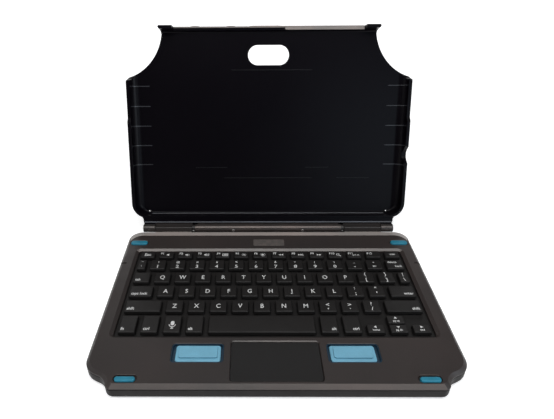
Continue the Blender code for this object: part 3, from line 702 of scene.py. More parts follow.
def make_buttons():
    low, shoulder, top = BUTTON_LEVELS_Z
    for name, side in (("left_button", -1), ("right_button", 1)):
        centre = (side * BUTTON_CAP_X, BUTTON_Y + 0.1)
        body = soft_prism(around(centre, *BUTTON_FLANGE, 2.0), low, shoulder, 0.1, 0.8)
        centre = (side * BUTTON_CAP_X, BUTTON_Y + 0.5)
        crown = soft_prism(around(centre, *BUTTON_PLATEAU, 1.5), shoulder - 0.4, top, 0.0, 0.3)
        body = combined(body, ("UNION", crown))
        body.normal_update()
        # The crown's steep sides take the darker flank material: painted shade.
        for face in body.faces:
            middle = face.calc_center_median()
            if shoulder < middle.z < top - 0.15 and face.normal.z < 0.75:
                face.material_index = 1
        piece(f"{name}_cap", body, ["button", "button_side_shade"], name,
              [name])
        centre = (side * BUTTON_X, BUTTON_Y)
        # A navy sheet lining the pocket's walls and floor: painted shade round the cap.
        shade_liner = soft_prism(around(centre, BUTTON_POCKET[0] - 0.05, BUTTON_POCKET[1] - 0.05, 2.5),
                           BUTTON_POCKET_Z + 0.02, DECK_Z - 0.3, 0.0, 0.15)
        inside = prism(around(centre, BUTTON_POCKET[0] - 0.6, BUTTON_POCKET[1] - 0.6, 2.0)(0),
                       BUTTON_POCKET_Z + 0.05, DECK_Z + PAST)
        piece(f"{name}_liner", combined(shade_liner, ("DIFFERENCE", inside)), "navy",
              "base")


def make_pads():
    for name, pad in PADS.items():
        for hand, side in (("left", -1), ("right", 1)):
            body = soft_prism(pad_ring(pad, side), DECK_Z - PAD_SINK, DECK_Z + PAD_PROUD,
                              0.1, 1.1, steps=5)
            piece(f"{name}_{hand}_rest", body, "pad", "base",
                  [f"{name}_{hand}_pad"])


def make_badge():
    half_w, front, rear = BADGE
    ring = around((0, (front + rear) / 2), half_w, (rear - front) / 2, 1.0)
    piece("blank_badge", soft_prism(ring, DECK_Z - 0.1, DECK_Z + 0.2, 0, 0.15),
          "badge", "base")


# ---------------------------------------------------------------- keyboard

def row_y(row):
    """Middle of a key row: 0 is the function row, 1 the numbers, 5 the space bar."""
    if row == 0:
        return NUMBER_ROW_Y + (PITCH + FUNCTION_ROW_DEPTH) / 2 + FUNCTION_KEY[1]
    shift = BOTTOM_KEY[1] if row == 5 else KEY_SHIFT
    return NUMBER_ROW_Y - (row - 1) * PITCH + shift


def key_depth(row):
    return {0: FUNCTION_KEY[0], 5: BOTTOM_KEY[0]}.get(row, PITCH - KEY_FRONT_GAP)


def key_cap(centre, width, depth, body):
    """One tapered cap with softly rounded top edges."""
    ring = around(centre, width / 2, depth / 2, 1.2, 22.5)
    levels = [(KEY_BOTTOM_Z, 0.12), (KEY_BOTTOM_Z + 0.12, 0.0), (KEY_TOP_Z - 0.9, 0.35)]
    for k in range(1, 6):
        turn = math.pi / 2 * k / 5
        levels.append((KEY_TOP_Z - 0.9 * (1 - math.sin(turn)), 0.35 + 0.9 * (1 - math.cos(turn))))
    loft([(z, ring(inset)) for z, inset in levels], body)


def text_into(body, text, size, x, y, align="CENTER", squeeze=0.88, weight=0.014):
    """Adds generic lettering as a thin closed print on the key tops."""
    curve = bpy.data.curves.new("print", "FONT")
    curve.body = text
    curve.size = size
    curve.align_x = align
    curve.extrude = PRINT_DEPTH / 2
    curve.offset = size * weight
    curve.resolution_u = 3
    holder = bpy.data.objects.new("print", curve)
    bpy.context.scene.collection.objects.link(holder)
    evaluated = holder.evaluated_get(bpy.context.evaluated_depsgraph_get())
    data = bpy.data.meshes.new_from_object(evaluated)
    data.transform(Matrix.Translation((x, y, KEY_TOP_Z + PRINT_DEPTH / 2))
                   @ Matrix.Diagonal((squeeze, 1, 1, 1)))
    body.from_mesh(data)
    bpy.data.meshes.remove(data)
    bpy.data.objects.remove(holder)


def flat_into(body, outline):
    prism(outline, KEY_TOP_Z, KEY_TOP_Z + PRINT_DEPTH, body)


def bar(body, x, y, half_w, half_h):
    flat_into(body, [(x - half_w, y - half_h), (x + half_w, y - half_h),
                     (x + half_w, y + half_h), (x - half_w, y + half_h)])


def band(body, centre, radius, width, first, last):
    """Part of a ring, from one angle to another in degrees."""
    count = max(3, round((last - first) / 20))
    turns = [math.radians(first + (last - first) * k / count) for k in range(count + 1)]
    outer = [(centre[0] + radius * math.cos(a), centre[1] + radius * math.sin(a)) for a in turns]
    inner = radius - width
    back = [(centre[0] + inner * math.cos(a), centre[1] + inner * math.sin(a)) for a in turns]
    flat_into(body, outer + back[::-1])


def speaker(body, x, y, waves):
    flat_into(body, [(x - 1.3, y - 0.4), (x - 0.8, y - 0.4), (x, y - 1.0), (x, y + 1.0),
                     (x - 0.8, y + 0.4), (x - 1.3, y + 0.4)])
    for k in range(waves):
        band(body, (x - 0.2, y), 1.0 + 0.6 * k, 0.25, -45, 45)


def sun(body, x, y, radius):
    flat_into(body, circle(radius, (x, y), 12))
    for k in range(8):
        a = math.tau * k / 8
        near, far = radius + 0.3, radius + 0.75
        side = (-math.sin(a) * 0.13, math.cos(a) * 0.13)
        ends = [(x + r * math.cos(a), y + r * math.sin(a)) for r in (near, far)]
        flat_into(body, [(ends[0][0] - side[0], ends[0][1] - side[1]),
                         (ends[1][0] - side[0], ends[1][1] - side[1]),
                         (ends[1][0] + side[0], ends[1][1] + side[1]),
                         (ends[0][0] + side[0], ends[0][1] + side[1])])


def screen(body, x, y, half_w=1.5, half_h=0.9):
    for sy in (-1, 1):
        bar(body, x, y + sy * half_h, half_w, 0.16)
    for sx in (-1, 1):
        bar(body, x + sx * (half_w - 0.16), y, 0.16, half_h - 0.17)
    bar(body, x, y, half_w * 0.55, half_h * 0.45)


def triangle(body, x, y, size, way):
    """A filled arrow head. way is its direction in degrees."""
    turns = [math.radians(way + 120 * k) for k in range(3)]
    flat_into(body, [(x + size * math.cos(a), y + size * math.sin(a)) for a in turns])


def microphone(body, x, y, _):
    y -= 0.8
    flat_into(body, rounded([(x - 1.35, y - 0.9, 1.3), (x + 1.35, y - 0.9, 1.3),
                             (x + 1.35, y + 3.4, 1.3), (x - 1.35, y + 3.4, 1.3)], 22.5))
    band(body, (x, y + 0.1), 2.7, 0.6, 180, 360)
    bar(body, x, y - 3.0, 0.35, 0.45)
    bar(body, x, y - 3.8, 1.1, 0.34)


def function_signs(body, index, x, y):
    """The small sign beside a function key's number."""
    if index in (1, 2, 3):
        speaker(body, x, y, index - 1)
    elif index == 4:
        screen(body, x, y)
    elif index in (5, 6):
        sun(body, x, y, 0.45 + 0.25 * (index - 5))
    elif index in (7, 8, 9):
        for k in range(2):
            triangle(body, x - 0.8 + 1.3 * k, y, 0.8, 180 if index == 7 else 0)
        if index == 8:
            bar(body, x + 1.4, y, 0.15, 0.8)
    elif index == 10:
        band(body, (x, y + 0.2), 0.9, 0.28, 0, 340)
        flat_into(body, [(x + 0.5, y - 0.6), (x + 0.8, y - 0.3), (x + 1.6, y - 1.1),
                         (x + 1.3, y - 1.4)])
    elif index == 11:
        text_into(body, "prt sc", 1.7, x - 0.4, y - 0.6)


START_X = -KEYBOARD_HALF_WIDTH
NUMBER_SIGNS = [("~", "`"), ("!", "1"), ("@", "2"), ("#", "3"), ("$", "4"), ("%", "5"),
                ("^", "6"), ("&", "7"), ("*", "8"), ("(", "9"), (")", "0"), ("_", "-"),
                ("+", "=")]
LETTER_SIZE = 6.2
LETTER_BASELINE = -2.2
SIGN_SIZE = 3.1
DIGIT_SIZE = 5.4
UPPER_BASELINE = 2.0
LOWER_BASELINE = -4.6
UPPER_RISE = {"_": -0.1, "*": -0.5, "^": -0.3, '"': -1.2, "~": 0.8, "<": -2.6, ">": -2.6,
              "?": -1.4, "+": -0.7}
LOWER_RISE = {"'": -0.8, "`": -0.8, ",": 1.3, ".": 1.3}
WORD_SIZE = 3.9
LOW_WORD_DROP = 6.2


def letter_print(text):
    return lambda body, x, y, _: text_into(body, text, LETTER_SIZE, x, y + LETTER_BASELINE,
                                           squeeze=0.84, weight=0.012)


def pair_print(upper, lower, size=DIGIT_SIZE, upper_size=SIGN_SIZE):
    def draw(body, x, y, width):
        high = y + UPPER_BASELINE + UPPER_RISE.get(upper, 0.0)
        text_into(body, upper, upper_size, x, high, squeeze=1.0)
        low = y + LOWER_BASELINE + LOWER_RISE.get(lower, 0.0)
        text_into(body, lower, size, x, low, squeeze=1.05)
    return draw


def word_print(text, hand, drop=4.2):
    """A small word at the key's lower left, lower right or, without a hand, its middle."""
    def draw(body, x, y, width):
        reach = width / 2 - 2.0
        align = {-1: "LEFT", 1: "RIGHT", 0: "CENTER"}[hand]
        text_into(body, text, WORD_SIZE, x + hand * reach, y - drop, align, weight=0.02)
    return draw


def delete_print(body, x, y, width):
    text_into(body, "delete", WORD_SIZE * 0.92, x - width / 2 + 1.9, y + 1.6, "LEFT")
    text_into(body, "back", WORD_SIZE * 0.92, x + width / 2 - 1.9, y - 3.8, "RIGHT")


def function_print(index):
    def draw(body, x, y, width):
        if index == 0:
            text_into(body, "Esc", 5.0, x, y - 1.7, weight=0.02)
        elif index == 13:
            sun(body, x - 1.2, y, 0.55)
            screen(body, x + 1.5, y, 1.3, 0.7)
        else:
            text_into(body, f"F{index}", 3.6, x - width / 2 + 1.4, y + 0.2, "LEFT", weight=0.02)
            sign = bmesh.new()
            function_signs(sign, index, 0, 0)
            bmesh.ops.transform(sign, verts=sign.verts, matrix=Matrix.Translation(
                (x + 2.3, y - 0.4, 0)) @ Matrix.Diagonal((1.65, 1.6, 1, 1)))
            merge(body, sign)
    return draw


def arrow_print(way, word):
    def draw(body, x, y, width):
        triangle(body, x, y + 1.4, 1.4, way)
        text_into(body, word, 2.6, x, y - 2.3)
    return draw


def run_of(row, left, units, prints, part="full"):
    """Keys side by side: (centre, width, depth, print) for each."""
    keys = []
    y, depth = row_y(row), key_depth(row)
    half = depth / 2 - 0.25
    middle, deep = {"full": (y, depth), "low": (y - depth / 2 + half / 2, half),
                    "high": (y + depth / 2 - half / 2, half)}[part]
    for count, draw in zip(units, prints):
        width = count * PITCH
        keys.append(((left + width / 2, middle), width - KEY_SIDE_GAP, deep, draw))
        left += width
    return keys, left


def key_groups():
    """Every key node with its keys, in the order of the rows."""
    groups = {}
    prints = [function_print(k) for k in range(14)]
    groups["function_keys"], _ = run_of(0, START_X, [13.75 / 14] * 14, prints)
    prints = [pair_print(*pair) for pair in NUMBER_SIGNS] + [delete_print]
    groups["number_keys"], _ = run_of(1, START_X, [0.655] + [1.0] * 12 + [1.095], prints)

    def letters(row, left, text):
        for letter in text:
            groups[f"key_{letter}"], left = run_of(row, left, [1.0],
                                                   [letter_print(letter.upper())])
        return left

    groups["tab_key"], left = run_of(2, START_X, [1.03], [word_print("tab", -1)])
    left = letters(2, left, "qwertyuiop")
    signs = [pair_print("{", "[", 5.0, 5.0), pair_print("}", "]", 5.0, 5.0),
             pair_print("|", "\\", 5.0, 4.6)]
    groups["bracket_keys"], _ = run_of(2, left, [1.0, 1.0, 0.72], signs)
    groups["caps_lock_key"], left = run_of(3, START_X, [1.33], [word_print("caps lock", -1)])
    left = letters(3, left, "asdfghjkl")
    signs = [pair_print(":", ";", 5.6, 5.0), pair_print('"', "'", 6.4, 5.4),
             word_print("enter", 1)]
    groups["enter_keys"], _ = run_of(3, left, [1.0, 1.0, 1.42], signs)
    groups["left_shift_key"], left = run_of(4, START_X, [1.89], [word_print("shift", -1)])
    left = letters(4, left, "zxcvbnm")
    signs = [pair_print("<", ",", 6.4, 5.4), pair_print(">", ".", 6.4, 5.4),
             pair_print("?", "/", 5.0, 5.0), word_print("shift", 1)]
    groups["right_shift_keys"], _ = run_of(4, left, [1.0, 1.0, 1.0, 1.86], signs)
    signs = [word_print("fn", -1, LOW_WORD_DROP), word_print("ctrl", -1, LOW_WORD_DROP),
             microphone, word_print("alt", -1, LOW_WORD_DROP)]
    groups["left_modifier_keys"], left = run_of(5, START_X, [0.975] * 4, signs)
    groups["space_bar"], left = run_of(5, left, [4.9], [None])
    signs = [word_print("alt", 1, LOW_WORD_DROP), word_print("ctrl", 1, LOW_WORD_DROP)]
    keys, left = run_of(5, left, [0.99] * 2, signs)
    signs = [arrow_print(180, "home"), arrow_print(270, "pg dn"), arrow_print(0, "end")]
    low, _ = run_of(5, left, [0.99] * 3, signs, "low")
    high, _ = run_of(5, left + 0.99 * PITCH, [0.99], [arrow_print(90, "pg up")], "high")
    groups["arrow_keys"] = keys + low + high
    return groups


def make_keys(groups):
    for name, keys in groups.items():
        body = bmesh.new()
        for centre, width, depth, _ in keys:
            key_cap(centre, width, depth, body)
            if name in ("key_f", "key_j"):
                home = around((centre[0], centre[1] - 4.3), 1.6, 0.3, 0.29)
                soft_prism(home, KEY_TOP_Z - 0.1, KEY_TOP_Z + 0.22, 0, 0.15, body)
        body.normal_update()
        # Steep faces of the caps take the darker flank material: painted shade.
        for face in body.faces:
            if face.normal.z < 0.6:
                face.material_index = 2
        plastic = len(body.faces)
        for centre, width, _, draw in keys:
            if draw:
                draw(body, *centre, width)
        body.faces.ensure_lookup_table()
        for face in body.faces[plastic:]:
            face.material_index = 1
        piece(f"{name}_caps", body, ("key", "legend", "key_side_shade"), name, [name])


def make_mat(groups):
    reach = WELL[0] + MAT_OVERLAP
    half_d = (WELL[2] - WELL[1]) / 2 + MAT_OVERLAP
    middle = (0, (WELL[1] + WELL[2]) / 2)
    body = soft_prism(around(middle, reach, half_d, 3.0), *MAT_Z, 0.1, 0.2)
    for keys in groups.values():
        for centre, width, depth, _ in keys:
            soft_prism(around(centre, width / 2 - 0.8, depth / 2 - 0.8, 1.0), MAT_Z[1] - 0.2,
                       MAT_Z[1] + 0.28, 0, 0.15, body, steps=2)
    piece("key_mat", body, "mat", "base", ["keymat"])


# ---------------------------------------------------------------- cover

def scoop(x_from, x_to, count):
    """Points of the round scoop that opens an upper corner, from one x to another."""
    cx, cz = SCOOP_CENTRE
    angles = [math.acos((cx - x) / SCOOP_R) for x in (x_from, x_to)]
    steps = [angles[0] + (angles[1] - angles[0]) * k / count for k in range(count + 1)]
    return [(cx - SCOOP_R * math.cos(a), cz - SCOOP_R * math.sin(a)) for a in steps]


def both_sides(right):
    return right + [(-x, z) for x, z in reversed(right)]


def cover_outline():
    """The whole cover seen from its open side, in x and z."""
    lower = rounded([(-RAIL_HALF_WIDTH, RAIL_BOTTOM_Z, 1.0), (RAIL_HALF_WIDTH, RAIL_BOTTOM_Z, 1.0),
                     (RAIL_HALF_WIDTH, SHELL_BOTTOM_Z, 1.2),
                     (COVER_HALF_WIDTH, SHELL_BOTTOM_Z, COVER_CORNER_R),
                     (COVER_HALF_WIDTH, SIDE_TOP_Z - 4.0, 0.0), (0, SIDE_TOP_Z, 0.0)])
    right = [p for p in lower if p[0] > 0]
    right += [(COVER_HALF_WIDTH - x, SIDE_TOP_Z + z)
              for x, z in ((0.2, -2.8), (0.8, -1.2), (2.0, 0.2))]
    right += scoop(COVER_HALF_WIDTH - 3.4, HORN_TIP_X - 1.6, 26)
    right += [(HORN_TIP_X - 1.0, 181.9), (HORN_TIP_X - 0.2, 183.0),
              (HORN_TIP_X, COVER_TOP_Z - 1.0), (HORN_TIP_X - 0.7, COVER_TOP_Z - 0.1)]
    return both_sides(right)


def drawn_in(outline, distance):
    """An outline moved inwards by a small distance, corner by corner."""
    moved = []
    for i, (x, z) in enumerate(outline):
        before = (Vector((x, z)) - Vector(outline[i - 1])).normalized()
        after = (Vector(outline[(i + 1) % len(outline)]) - Vector((x, z))).normalized()
        normal = Vector((-(before.y + after.y), before.x + after.x)).normalized()
        reach = distance / max(0.5, normal.dot(Vector((-after.y, after.x))))
        moved.append((x + normal.x * reach, z + normal.y * reach))
    return moved


def bay_outline(inset):
    """The recess for the tablet, drawn in most at its sides, where its fillet is widest."""
    inner = COVER_HALF_WIDTH - COVER_SIDE_WALL - inset
    far = COVER_HALF_WIDTH + 20
    low = BAY_BOTTOM_Z + inset * 0.3
    high = TOP_WALL_Z - inset * 0.3
    step = SIDE_TOP_Z - 2.4 + max(inset, 0.0) * 0.8
    right = rounded([(0, low, 0), (inner, low, COVER_CORNER_R - COVER_WALL - inset),
                     (inner, step, 0), (far, step, 0), (far, high, 0), (0, high, 0)], 6.0)
    return both_sides([p for p in right if p[0] > 0])


def bay_cutter():
    levels = []
    for k in range(9):
        turn = math.pi / 2 * k / 8
        levels.append((COVER_FLOOR_Y - SIDE_FILLET * (1 - math.cos(turn)),
                       SIDE_FILLET * (1 - math.sin(turn))))
    levels += [(COVER_RIM_Y + 0.4, 0.0), (COVER_RIM_Y, -0.4), (COVER_RIM_Y - PAST, -0.4 - PAST)]
    return loft([(y, bay_outline(inset)) for y, inset in levels], None, along_y)


def knuckle_ring(inset):
    """An end knuckle seen from the side: round about the axis, with an ear up to the rail."""
    front = COVER_RIM_Y + 0.1 + inset
    radius = KNUCKLE_R - inset
    first = math.acos(front / radius)
    last = math.tau - math.asin(0.4 / radius)
    angles = [first + (last - first) * k / 32 for k in range(33)]
    turn = [(radius * math.cos(a), radius * math.sin(a)) for a in angles]
    top = BAY_BOTTOM_Z - COVER_WALL + 0.5
    return turn + [(8.0 - inset, -0.4), (8.0 - inset, top), (front, top)]


def side_cuts(cuts):
    for side in (-1, 1):
        ends = span(side, COVER_HALF_WIDTH - COVER_SIDE_WALL - 7, COVER_HALF_WIDTH + PAST)
        low_rim = [(COVER_RIM_Y - PAST, LOW_RIM_FROM_Z - 4.0), (COVER_RIM_Y, LOW_RIM_FROM_Z - 2.6),
                   (COVER_RIM_Y + 1.4, LOW_RIM_FROM_Z - 0.6), (LOW_RIM_Y, LOW_RIM_FROM_Z + 1.4),
                   (LOW_RIM_Y, SIDE_TOP_Z + 10.0), (COVER_RIM_Y - PAST, SIDE_TOP_Z + 10.0)]
        prism(low_rim, *ends, cuts, along_x)
        prism(circle(SHAFT_R + GAP, sides=20),
              *span(side, KNUCKLE_X[0] - PAST, 116.9), cuts, along_x)
    low, high = PORT_NOTCH_Z
    notch = [(COVER_RIM_Y - PAST, low - 1.0), (COVER_RIM_Y + 1.0, low), (6.5, low + 3.2),
             (8.0, low + 5.5), (8.0, high - 5.5), (6.5, high - 3.2), (COVER_RIM_Y + 1.0, high),
             (COVER_RIM_Y - PAST, high + 1.0)]
    prism(notch, COVER_HALF_WIDTH - COVER_SIDE_WALL - 4, COVER_HALF_WIDTH + PAST, cuts, along_x)


def rib_outline(proud, top_y):
    """A grip rib seen along the cover: over the floor, round the fillet and up the wall."""
    wall = COVER_HALF_WIDTH - COVER_SIDE_WALL
    centre = (wall - SIDE_FILLET, COVER_FLOOR_Y - SIDE_FILLET)
    turns = [math.pi / 2 * k / 6 for k in range(7)]
    inner_r = SIDE_FILLET - proud
    arc = [(centre[0] + inner_r * math.sin(a), centre[1] + inner_r * math.cos(a)) for a in turns]
    outer = [(wall + 0.6, top_y), (wall + 0.6, COVER_FLOOR_Y + 0.6),
             (RIB_INNER_X + 2.5, COVER_FLOOR_Y + 0.6), (RIB_INNER_X, COVER_FLOOR_Y + 0.1)]
    return ([(RIB_INNER_X + 2.5, COVER_FLOOR_Y - proud)] + arc
            + [(wall - proud, top_y + 0.8)] + outer)


def make_cover():
    outline = cover_outline()
    levels = [(COVER_RIM_Y, 0.3), (COVER_RIM_Y + 0.3, 0.0)]
    for k in range(5):
        turn = math.pi / 2 * k / 4
        levels.append((COVER_BACK_Y - 0.9 * (1 - math.sin(turn)), 0.9 * (1 - math.cos(turn))))
    body = loft([(y, drawn_in(outline, inset)) for y, inset in levels], None, along_y)

    bay = bay_cutter()
    channel_top = BAY_BOTTOM_Z - COVER_WALL
    reach = RAIL_HALF_WIDTH - COVER_WALL
    block(-reach, reach, COVER_RIM_Y + COVER_WALL, COVER_BACK_Y - COVER_WALL,
          RAIL_BOTTOM_Z - PAST, channel_top, bay)

    knuckles = bmesh.new()
    for side in (-1, 1):
        ends = span(side, *KNUCKLE_X)
        soft_prism(knuckle_ring, *ends, 0.4, 0.4, knuckles, along_x, 3)
    half_w, *sides = SKIRT
    block(-half_w, half_w, *sides, knuckles)

    cuts = bmesh.new()
    window = around((0, WINDOW_Z), *WINDOW_SIZE, WINDOW_SIZE[1] - 0.02, 7.5)
    rounding = 0.6
    levels = [(COVER_FLOOR_Y - PAST, -rounding - PAST), (COVER_FLOOR_Y, -rounding),
              (COVER_FLOOR_Y + rounding, 0), (COVER_BACK_Y - rounding, 0),
              (COVER_BACK_Y, -rounding), (COVER_BACK_Y + PAST, -rounding - PAST)]
    loft([(y, window(inset)) for y, inset in levels], cuts, along_y)
    x, z, radius = CORNER_HOLE
    for side in (-1, 1):
        prism(circle(radius, (side * x, z), 16), COVER_RIM_Y + 4.0, COVER_BACK_Y + PAST, cuts,
              along_y)
    front, back = COVER_RIM_Y - PAST, COVER_FLOOR_Y + 0.4
    low, high = TOP_WALL_Z - PAST, COVER_TOP_Z + PAST
    trim_slot = [(front, low), (TRIM_FRONT_Y, low), (TRIM_FRONT_Y, TRIM_SEAT_Z),
                 (back, TRIM_SEAT_Z), (back, high), (front, high)]
    prism(trim_slot, -HORN_INNER_X, HORN_INNER_X, cuts, along_x)
    side_cuts(cuts)
    opening(around(*BACK_PANEL), COVER_BACK_Y - BACK_PANEL_DEPTH, COVER_BACK_Y, 0.4, cuts,
            along_y)

    body = combined(body, ("DIFFERENCE", bay), ("UNION", knuckles), ("DIFFERENCE", cuts))
    for face in body.faces:
        middle = face.calc_center_median()
        if abs(middle.x) > KNUCKLE_X[0] - 0.1 and middle.z < 4.6 and middle.y < 8.1:
            face.material_index = 1
    cover_piece("cover_moulding", body, ("cover", "knuckle"), ["cover_shell"])


def make_cover_lines():
    """Grip ribs and the floor's shallow steps, coloured lighter than the cover as painted
    highlight, and beads on the rail's edge and the bay's lower fillet that are painted highlight
    strips.
    """
    ribs = bmesh.new()
    for k in range(RIB_COUNT):
        z = RIB_FIRST_Z + k * RIB_PITCH
        top_y = (LOW_RIM_Y if z > LOW_RIM_FROM_Z else COVER_RIM_Y) + 1.2
        for side in (-1, 1):
            rib = [(side * x, y) for x, y in rib_outline(RIB_PROUD, top_y)]
            prism(rib, z - RIB_HALF_WIDTH, z + RIB_HALF_WIDTH, ribs)
    # The ribs' lighter material is painted highlight.
    cover_piece("grip_ribs", ribs, "rib")
    steps = bmesh.new()
    for z, x0, x1 in FLOOR_STEPS:
        soft_prism(around(((x0 + x1) / 2, z), (x1 - x0) / 2, 0.3, 0.25),
                   COVER_FLOOR_Y - 0.22, COVER_FLOOR_Y + 0.4, 0.1, 0, steps, along_y, 2)
    # The steps' lighter material is painted highlight.
    cover_piece("floor_steps", steps, "step")
    # Light strips on the rail's edge and on the fillet where the bay floor meets the rail: painted
    # highlight.
    beads = bmesh.new()
    soft_prism(around((0, RAIL_BOTTOM_Z + 0.25), RAIL_HALF_WIDTH - 1.2, 0.56, 0.3),
               COVER_RIM_Y - 0.12, COVER_RIM_Y + 0.6, 0.1, 0, beads, along_y, 2)
    soft_prism(disc(0.42, (9.7, 12.35), 16), -112.5, 112.5, 0.2, 0.2, beads, along_x, 2)
    cover_piece("rail_highlight_beads", beads, "bead")


def make_top_trim():
    """The grey strip along the top edge: low with two bumps at the left, tall at the right."""
    low, high = TRIM_SEAT_Z + GAP, COVER_TOP_Z
    end = TRIM_HALF_LENGTH
    outline = [(-end, low), (end, low), (end, high - 0.6), (end - 0.6, high - 0.2),
               (12.0, high - 0.2), (8.0, high), (-15.0, high), (-20.0, high - 0.8)]
    for middle in TRIM_BUMPS:
        outline += [(middle + 5.5, high - 0.8), (middle + 3.0, high - 0.2), (middle, high),
                    (middle - 3.0, high - 0.2), (middle - 5.5, high - 0.8)]
    outline += [(-end, high - 0.8)]
    body = prism(outline, TRIM_FRONT_Y + 0.05, TRIM_BACK_Y, None, along_y)
    cover_piece("top_strip", body, "trim", ["top_trim"])
    face = around((TRIM_FACE[0], high - 2.0), *TRIM_FACE[1:])
    body = soft_prism(face, TRIM_FRONT_Y - 0.7, TRIM_FRONT_Y - 0.02, 0.3, 0, None, along_y)
    cover_piece("top_strip_face", body, "trim")


def make_barrel():
    """The round bar between the posts, with a web that stands in the cover's channel."""
    body = soft_prism(disc(BARREL_R, sides=40), -BARREL_HALF_LENGTH, BARREL_HALF_LENGTH,
                      0.4, 0.4, None, along_x)
    rear = COVER_BACK_Y - COVER_WALL - GAP
    web_front = COVER_RIM_Y + COVER_WALL + GAP
    web_top = BAY_BOTTOM_Z - COVER_WALL - GAP
    web = prism([(1.0, 0.5), (rear - 4.5, 0.5), (rear - 4.5, web_top), (web_front, web_top),
                 (web_front, 4.6), (1.0, 2.4)], -BARREL_HALF_LENGTH + 2, BARREL_HALF_LENGTH - 2,
                None, along_x)
    cover_piece("hinge_bar", combined(body, ("UNION", web)), "barrel",
                ["hinge_barrel"])


def small_screw(name, x, y, z, aim, radius, material):
    """A pan screw with a cross recess, its head facing along -Y turned by aim about X."""
    head = soft_prism(disc(radius, sides=24), 0.0, 0.5, 0, 0.25)
    cross = bmesh.new()
    block(-radius * 0.6, radius * 0.6, -radius * 0.13, radius * 0.13, 0.2, PAST, cross)
    upright_arm = block(-radius * 0.13, radius * 0.13, -radius * 0.6, radius * 0.6, 0.2, PAST)
    head = combined(head, ("DIFFERENCE", cross), ("DIFFERENCE", upright_arm))
    place = (COVER_PLACE @ Matrix.Translation((x, y, z))
             @ Matrix.Rotation(math.radians(90) + aim, 4, "X"))
    piece(name, head, material, "cover", (), place)


def make_hinge_details():
    """Screws on the barrel, the knuckles and the collars that close the barrel's ends."""
    screws = (("barrel", BARREL_SCREW, BARREL_R - 0.3, SCREW_AIM, "steel"),
              ("knuckle", KNUCKLE_SCREW, KNUCKLE_R - 0.35, SCREW_AIM, "barrel"),
              ("collar", COLLAR_SCREW, COLLAR_R - 0.2, 2 * SCREW_AIM, "steel"))
    for name, side in (("left", -1), ("right", 1)):
        for part, (x, radius), seat, aim, material in screws:
            small_screw(f"{name}_{part}_screw", side * x, -seat * math.cos(aim),
                        -seat * math.sin(aim), aim, radius, material)
        ends = span(side, BARREL_HALF_LENGTH - 0.5, POST_X[0] - 0.1)
        body = soft_prism(disc(COLLAR_R, sides=28), *ends, 0.15, 0.15, None, along_x)
        cover_piece(f"{name}_barrel_collar", body, "post")


def finish_carried_nodes():
    """The CAD nodes that stay get their finish here."""
    finishes = {"main_board": "board", "battery_pack": "battery", "left_hinge_shaft": "steel",
                "right_hinge_shaft": "steel"}
    finishes.update({f"case_screw_{k}": "steel" for k in range(1, 5)})
    for name, material in finishes.items():
        for held in frame["nodes"][name].material_slots:
            held.material = MATERIALS[material]


# ---------------------------------------------------------------- stage

FLOOR_R = 3.0
FLOOR_GLOW = (0.45, 1.05, 0.7, 1.6)
WORLD_LIGHT = 0.045
LIGHTS = (
    ("overhead", (0.0, -0.55, 1.25), (0, -0.07, 0), (1.5, 0.9), 17.0, (1, 1, 1)),
    ("left_fill", (-1.3, -0.35, 0.8), (0, 0, 0.05), (0.8, 0.8), 2.5, (1, 1, 1)),
    ("right_fill", (1.25, -0.75, 0.45), (0, 0.05, 0.1), (0.7, 0.6), 4.5, (0.80, 0.90, 1.0)),
    ("cover_sheen", (0.55, -1.40, 0.44), (0.1, 0.02, 0.1), (0.55, 0.6), 1.5, (0.70, 0.86, 1.0)),
    ("back_light", (0.0, 1.3, 0.9), (0, 0, 0.0), (1.2, 0.6), 8.0, (1, 1, 1)),
)
CAMERA_LENS = 31.13
CAMERA_SHIFT_X = 0.0596
CAMERA_PLACE = (-0.018358, -0.374659, 0.274058)
CAMERA_TURNS = ((0.663, "Z"), (90 - 32.406, "X"), (-0.454, "Z"))


def make_floor():
    finish = Finish("floor_paper", (0.90, 0.90, 0.90), 0.75, specular=0.1)
    finish.mottle(3, 0.004, fine_scale=200, fine=0.003).satin(8, 0.03).grain(400, 0.01)
    finish.shader.inputs["Emission Color"].default_value = (1.0, 1.0, 1.0, 1.0)
    far = finish.node("ShaderNodeVectorMath", operation="LENGTH")
    finish.link(finish.coords, far.inputs[0])
    glow = finish.spread(far.outputs["Value"], *FLOOR_GLOW)
    finish.link(glow, finish.shader.inputs["Emission Strength"])
    body = bmesh.new()
    bmesh.ops.create_circle(body, cap_ends=True, radius=FLOOR_R, segments=96)
    floor = raw_object("floor", body)
    floor.data.materials.append(finish.material)
    floor.location.z = -0.0002


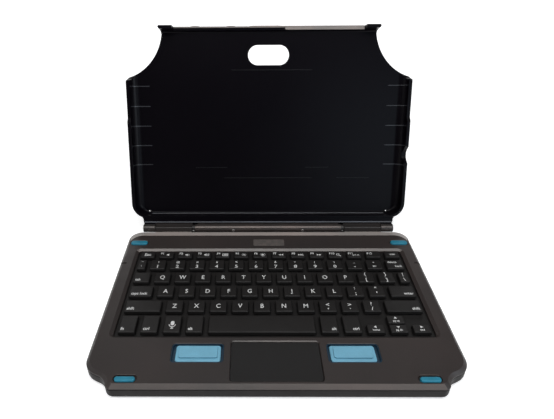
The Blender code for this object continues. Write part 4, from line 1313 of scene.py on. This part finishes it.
def area_light(name, place, target, size, power, colour):
    data = bpy.data.lights.new(name, "AREA")
    data.shape = "RECTANGLE"
    data.size, data.size_y = size
    data.energy = power
    data.color = colour
    lamp = bpy.data.objects.new(name, data)
    lamp.location = place
    aim = Vector(target) - Vector(place)
    lamp.rotation_euler = aim.to_track_quat("-Z", "Y").to_euler()
    bpy.context.scene.collection.objects.link(lamp)


def make_world():
    """White to the camera, and a dim soft surround for the lighting."""
    world = bpy.data.worlds.new("surround")
    bpy.context.scene.world = world
    world.use_nodes = True
    nodes, links = world.node_tree.nodes, world.node_tree.links
    output = nodes["World Output"]
    dim = nodes["Background"]
    dim.inputs["Color"].default_value = (0.95, 0.97, 1.0, 1.0)
    dim.inputs["Strength"].default_value = WORLD_LIGHT
    white = nodes.new("ShaderNodeBackground")
    white.inputs["Color"].default_value = (1.0, 1.0, 1.0, 1.0)
    path = nodes.new("ShaderNodeLightPath")
    mix = nodes.new("ShaderNodeMixShader")
    links.new(path.outputs["Is Camera Ray"], mix.inputs["Fac"])
    links.new(dim.outputs["Background"], mix.inputs[1])
    links.new(white.outputs["Background"], mix.inputs[2])
    links.new(mix.outputs["Shader"], output.inputs["Surface"])


def make_camera():
    data = bpy.data.cameras.new("camera")
    data.lens = CAMERA_LENS
    data.sensor_width = 36.0
    data.shift_x = CAMERA_SHIFT_X
    data.clip_start, data.clip_end = 0.01, 20.0
    camera = bpy.data.objects.new("camera", data)
    x, y, z = CAMERA_PLACE
    place = Matrix.Translation((x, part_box("bottom_case")[1].y + y, z))
    for degrees, axis in CAMERA_TURNS:
        place = place @ Matrix.Rotation(math.radians(degrees), 4, axis)
    camera.matrix_world = place
    bpy.context.scene.collection.objects.link(camera)
    bpy.context.scene.camera = camera


def main():
    make_deck()
    make_lower_case()
    make_feet()
    make_touchpad()
    make_buttons()
    make_pads()
    make_badge()
    groups = key_groups()
    make_keys(groups)
    make_mat(groups)
    make_cover()
    make_cover_lines()
    make_top_trim()
    make_barrel()
    make_hinge_details()
    finish_carried_nodes()
    make_floor()
    for light in LIGHTS:
        area_light(*light)
    make_world()
    make_camera()
    bpy.context.scene.view_settings.view_transform = "Standard"


main()
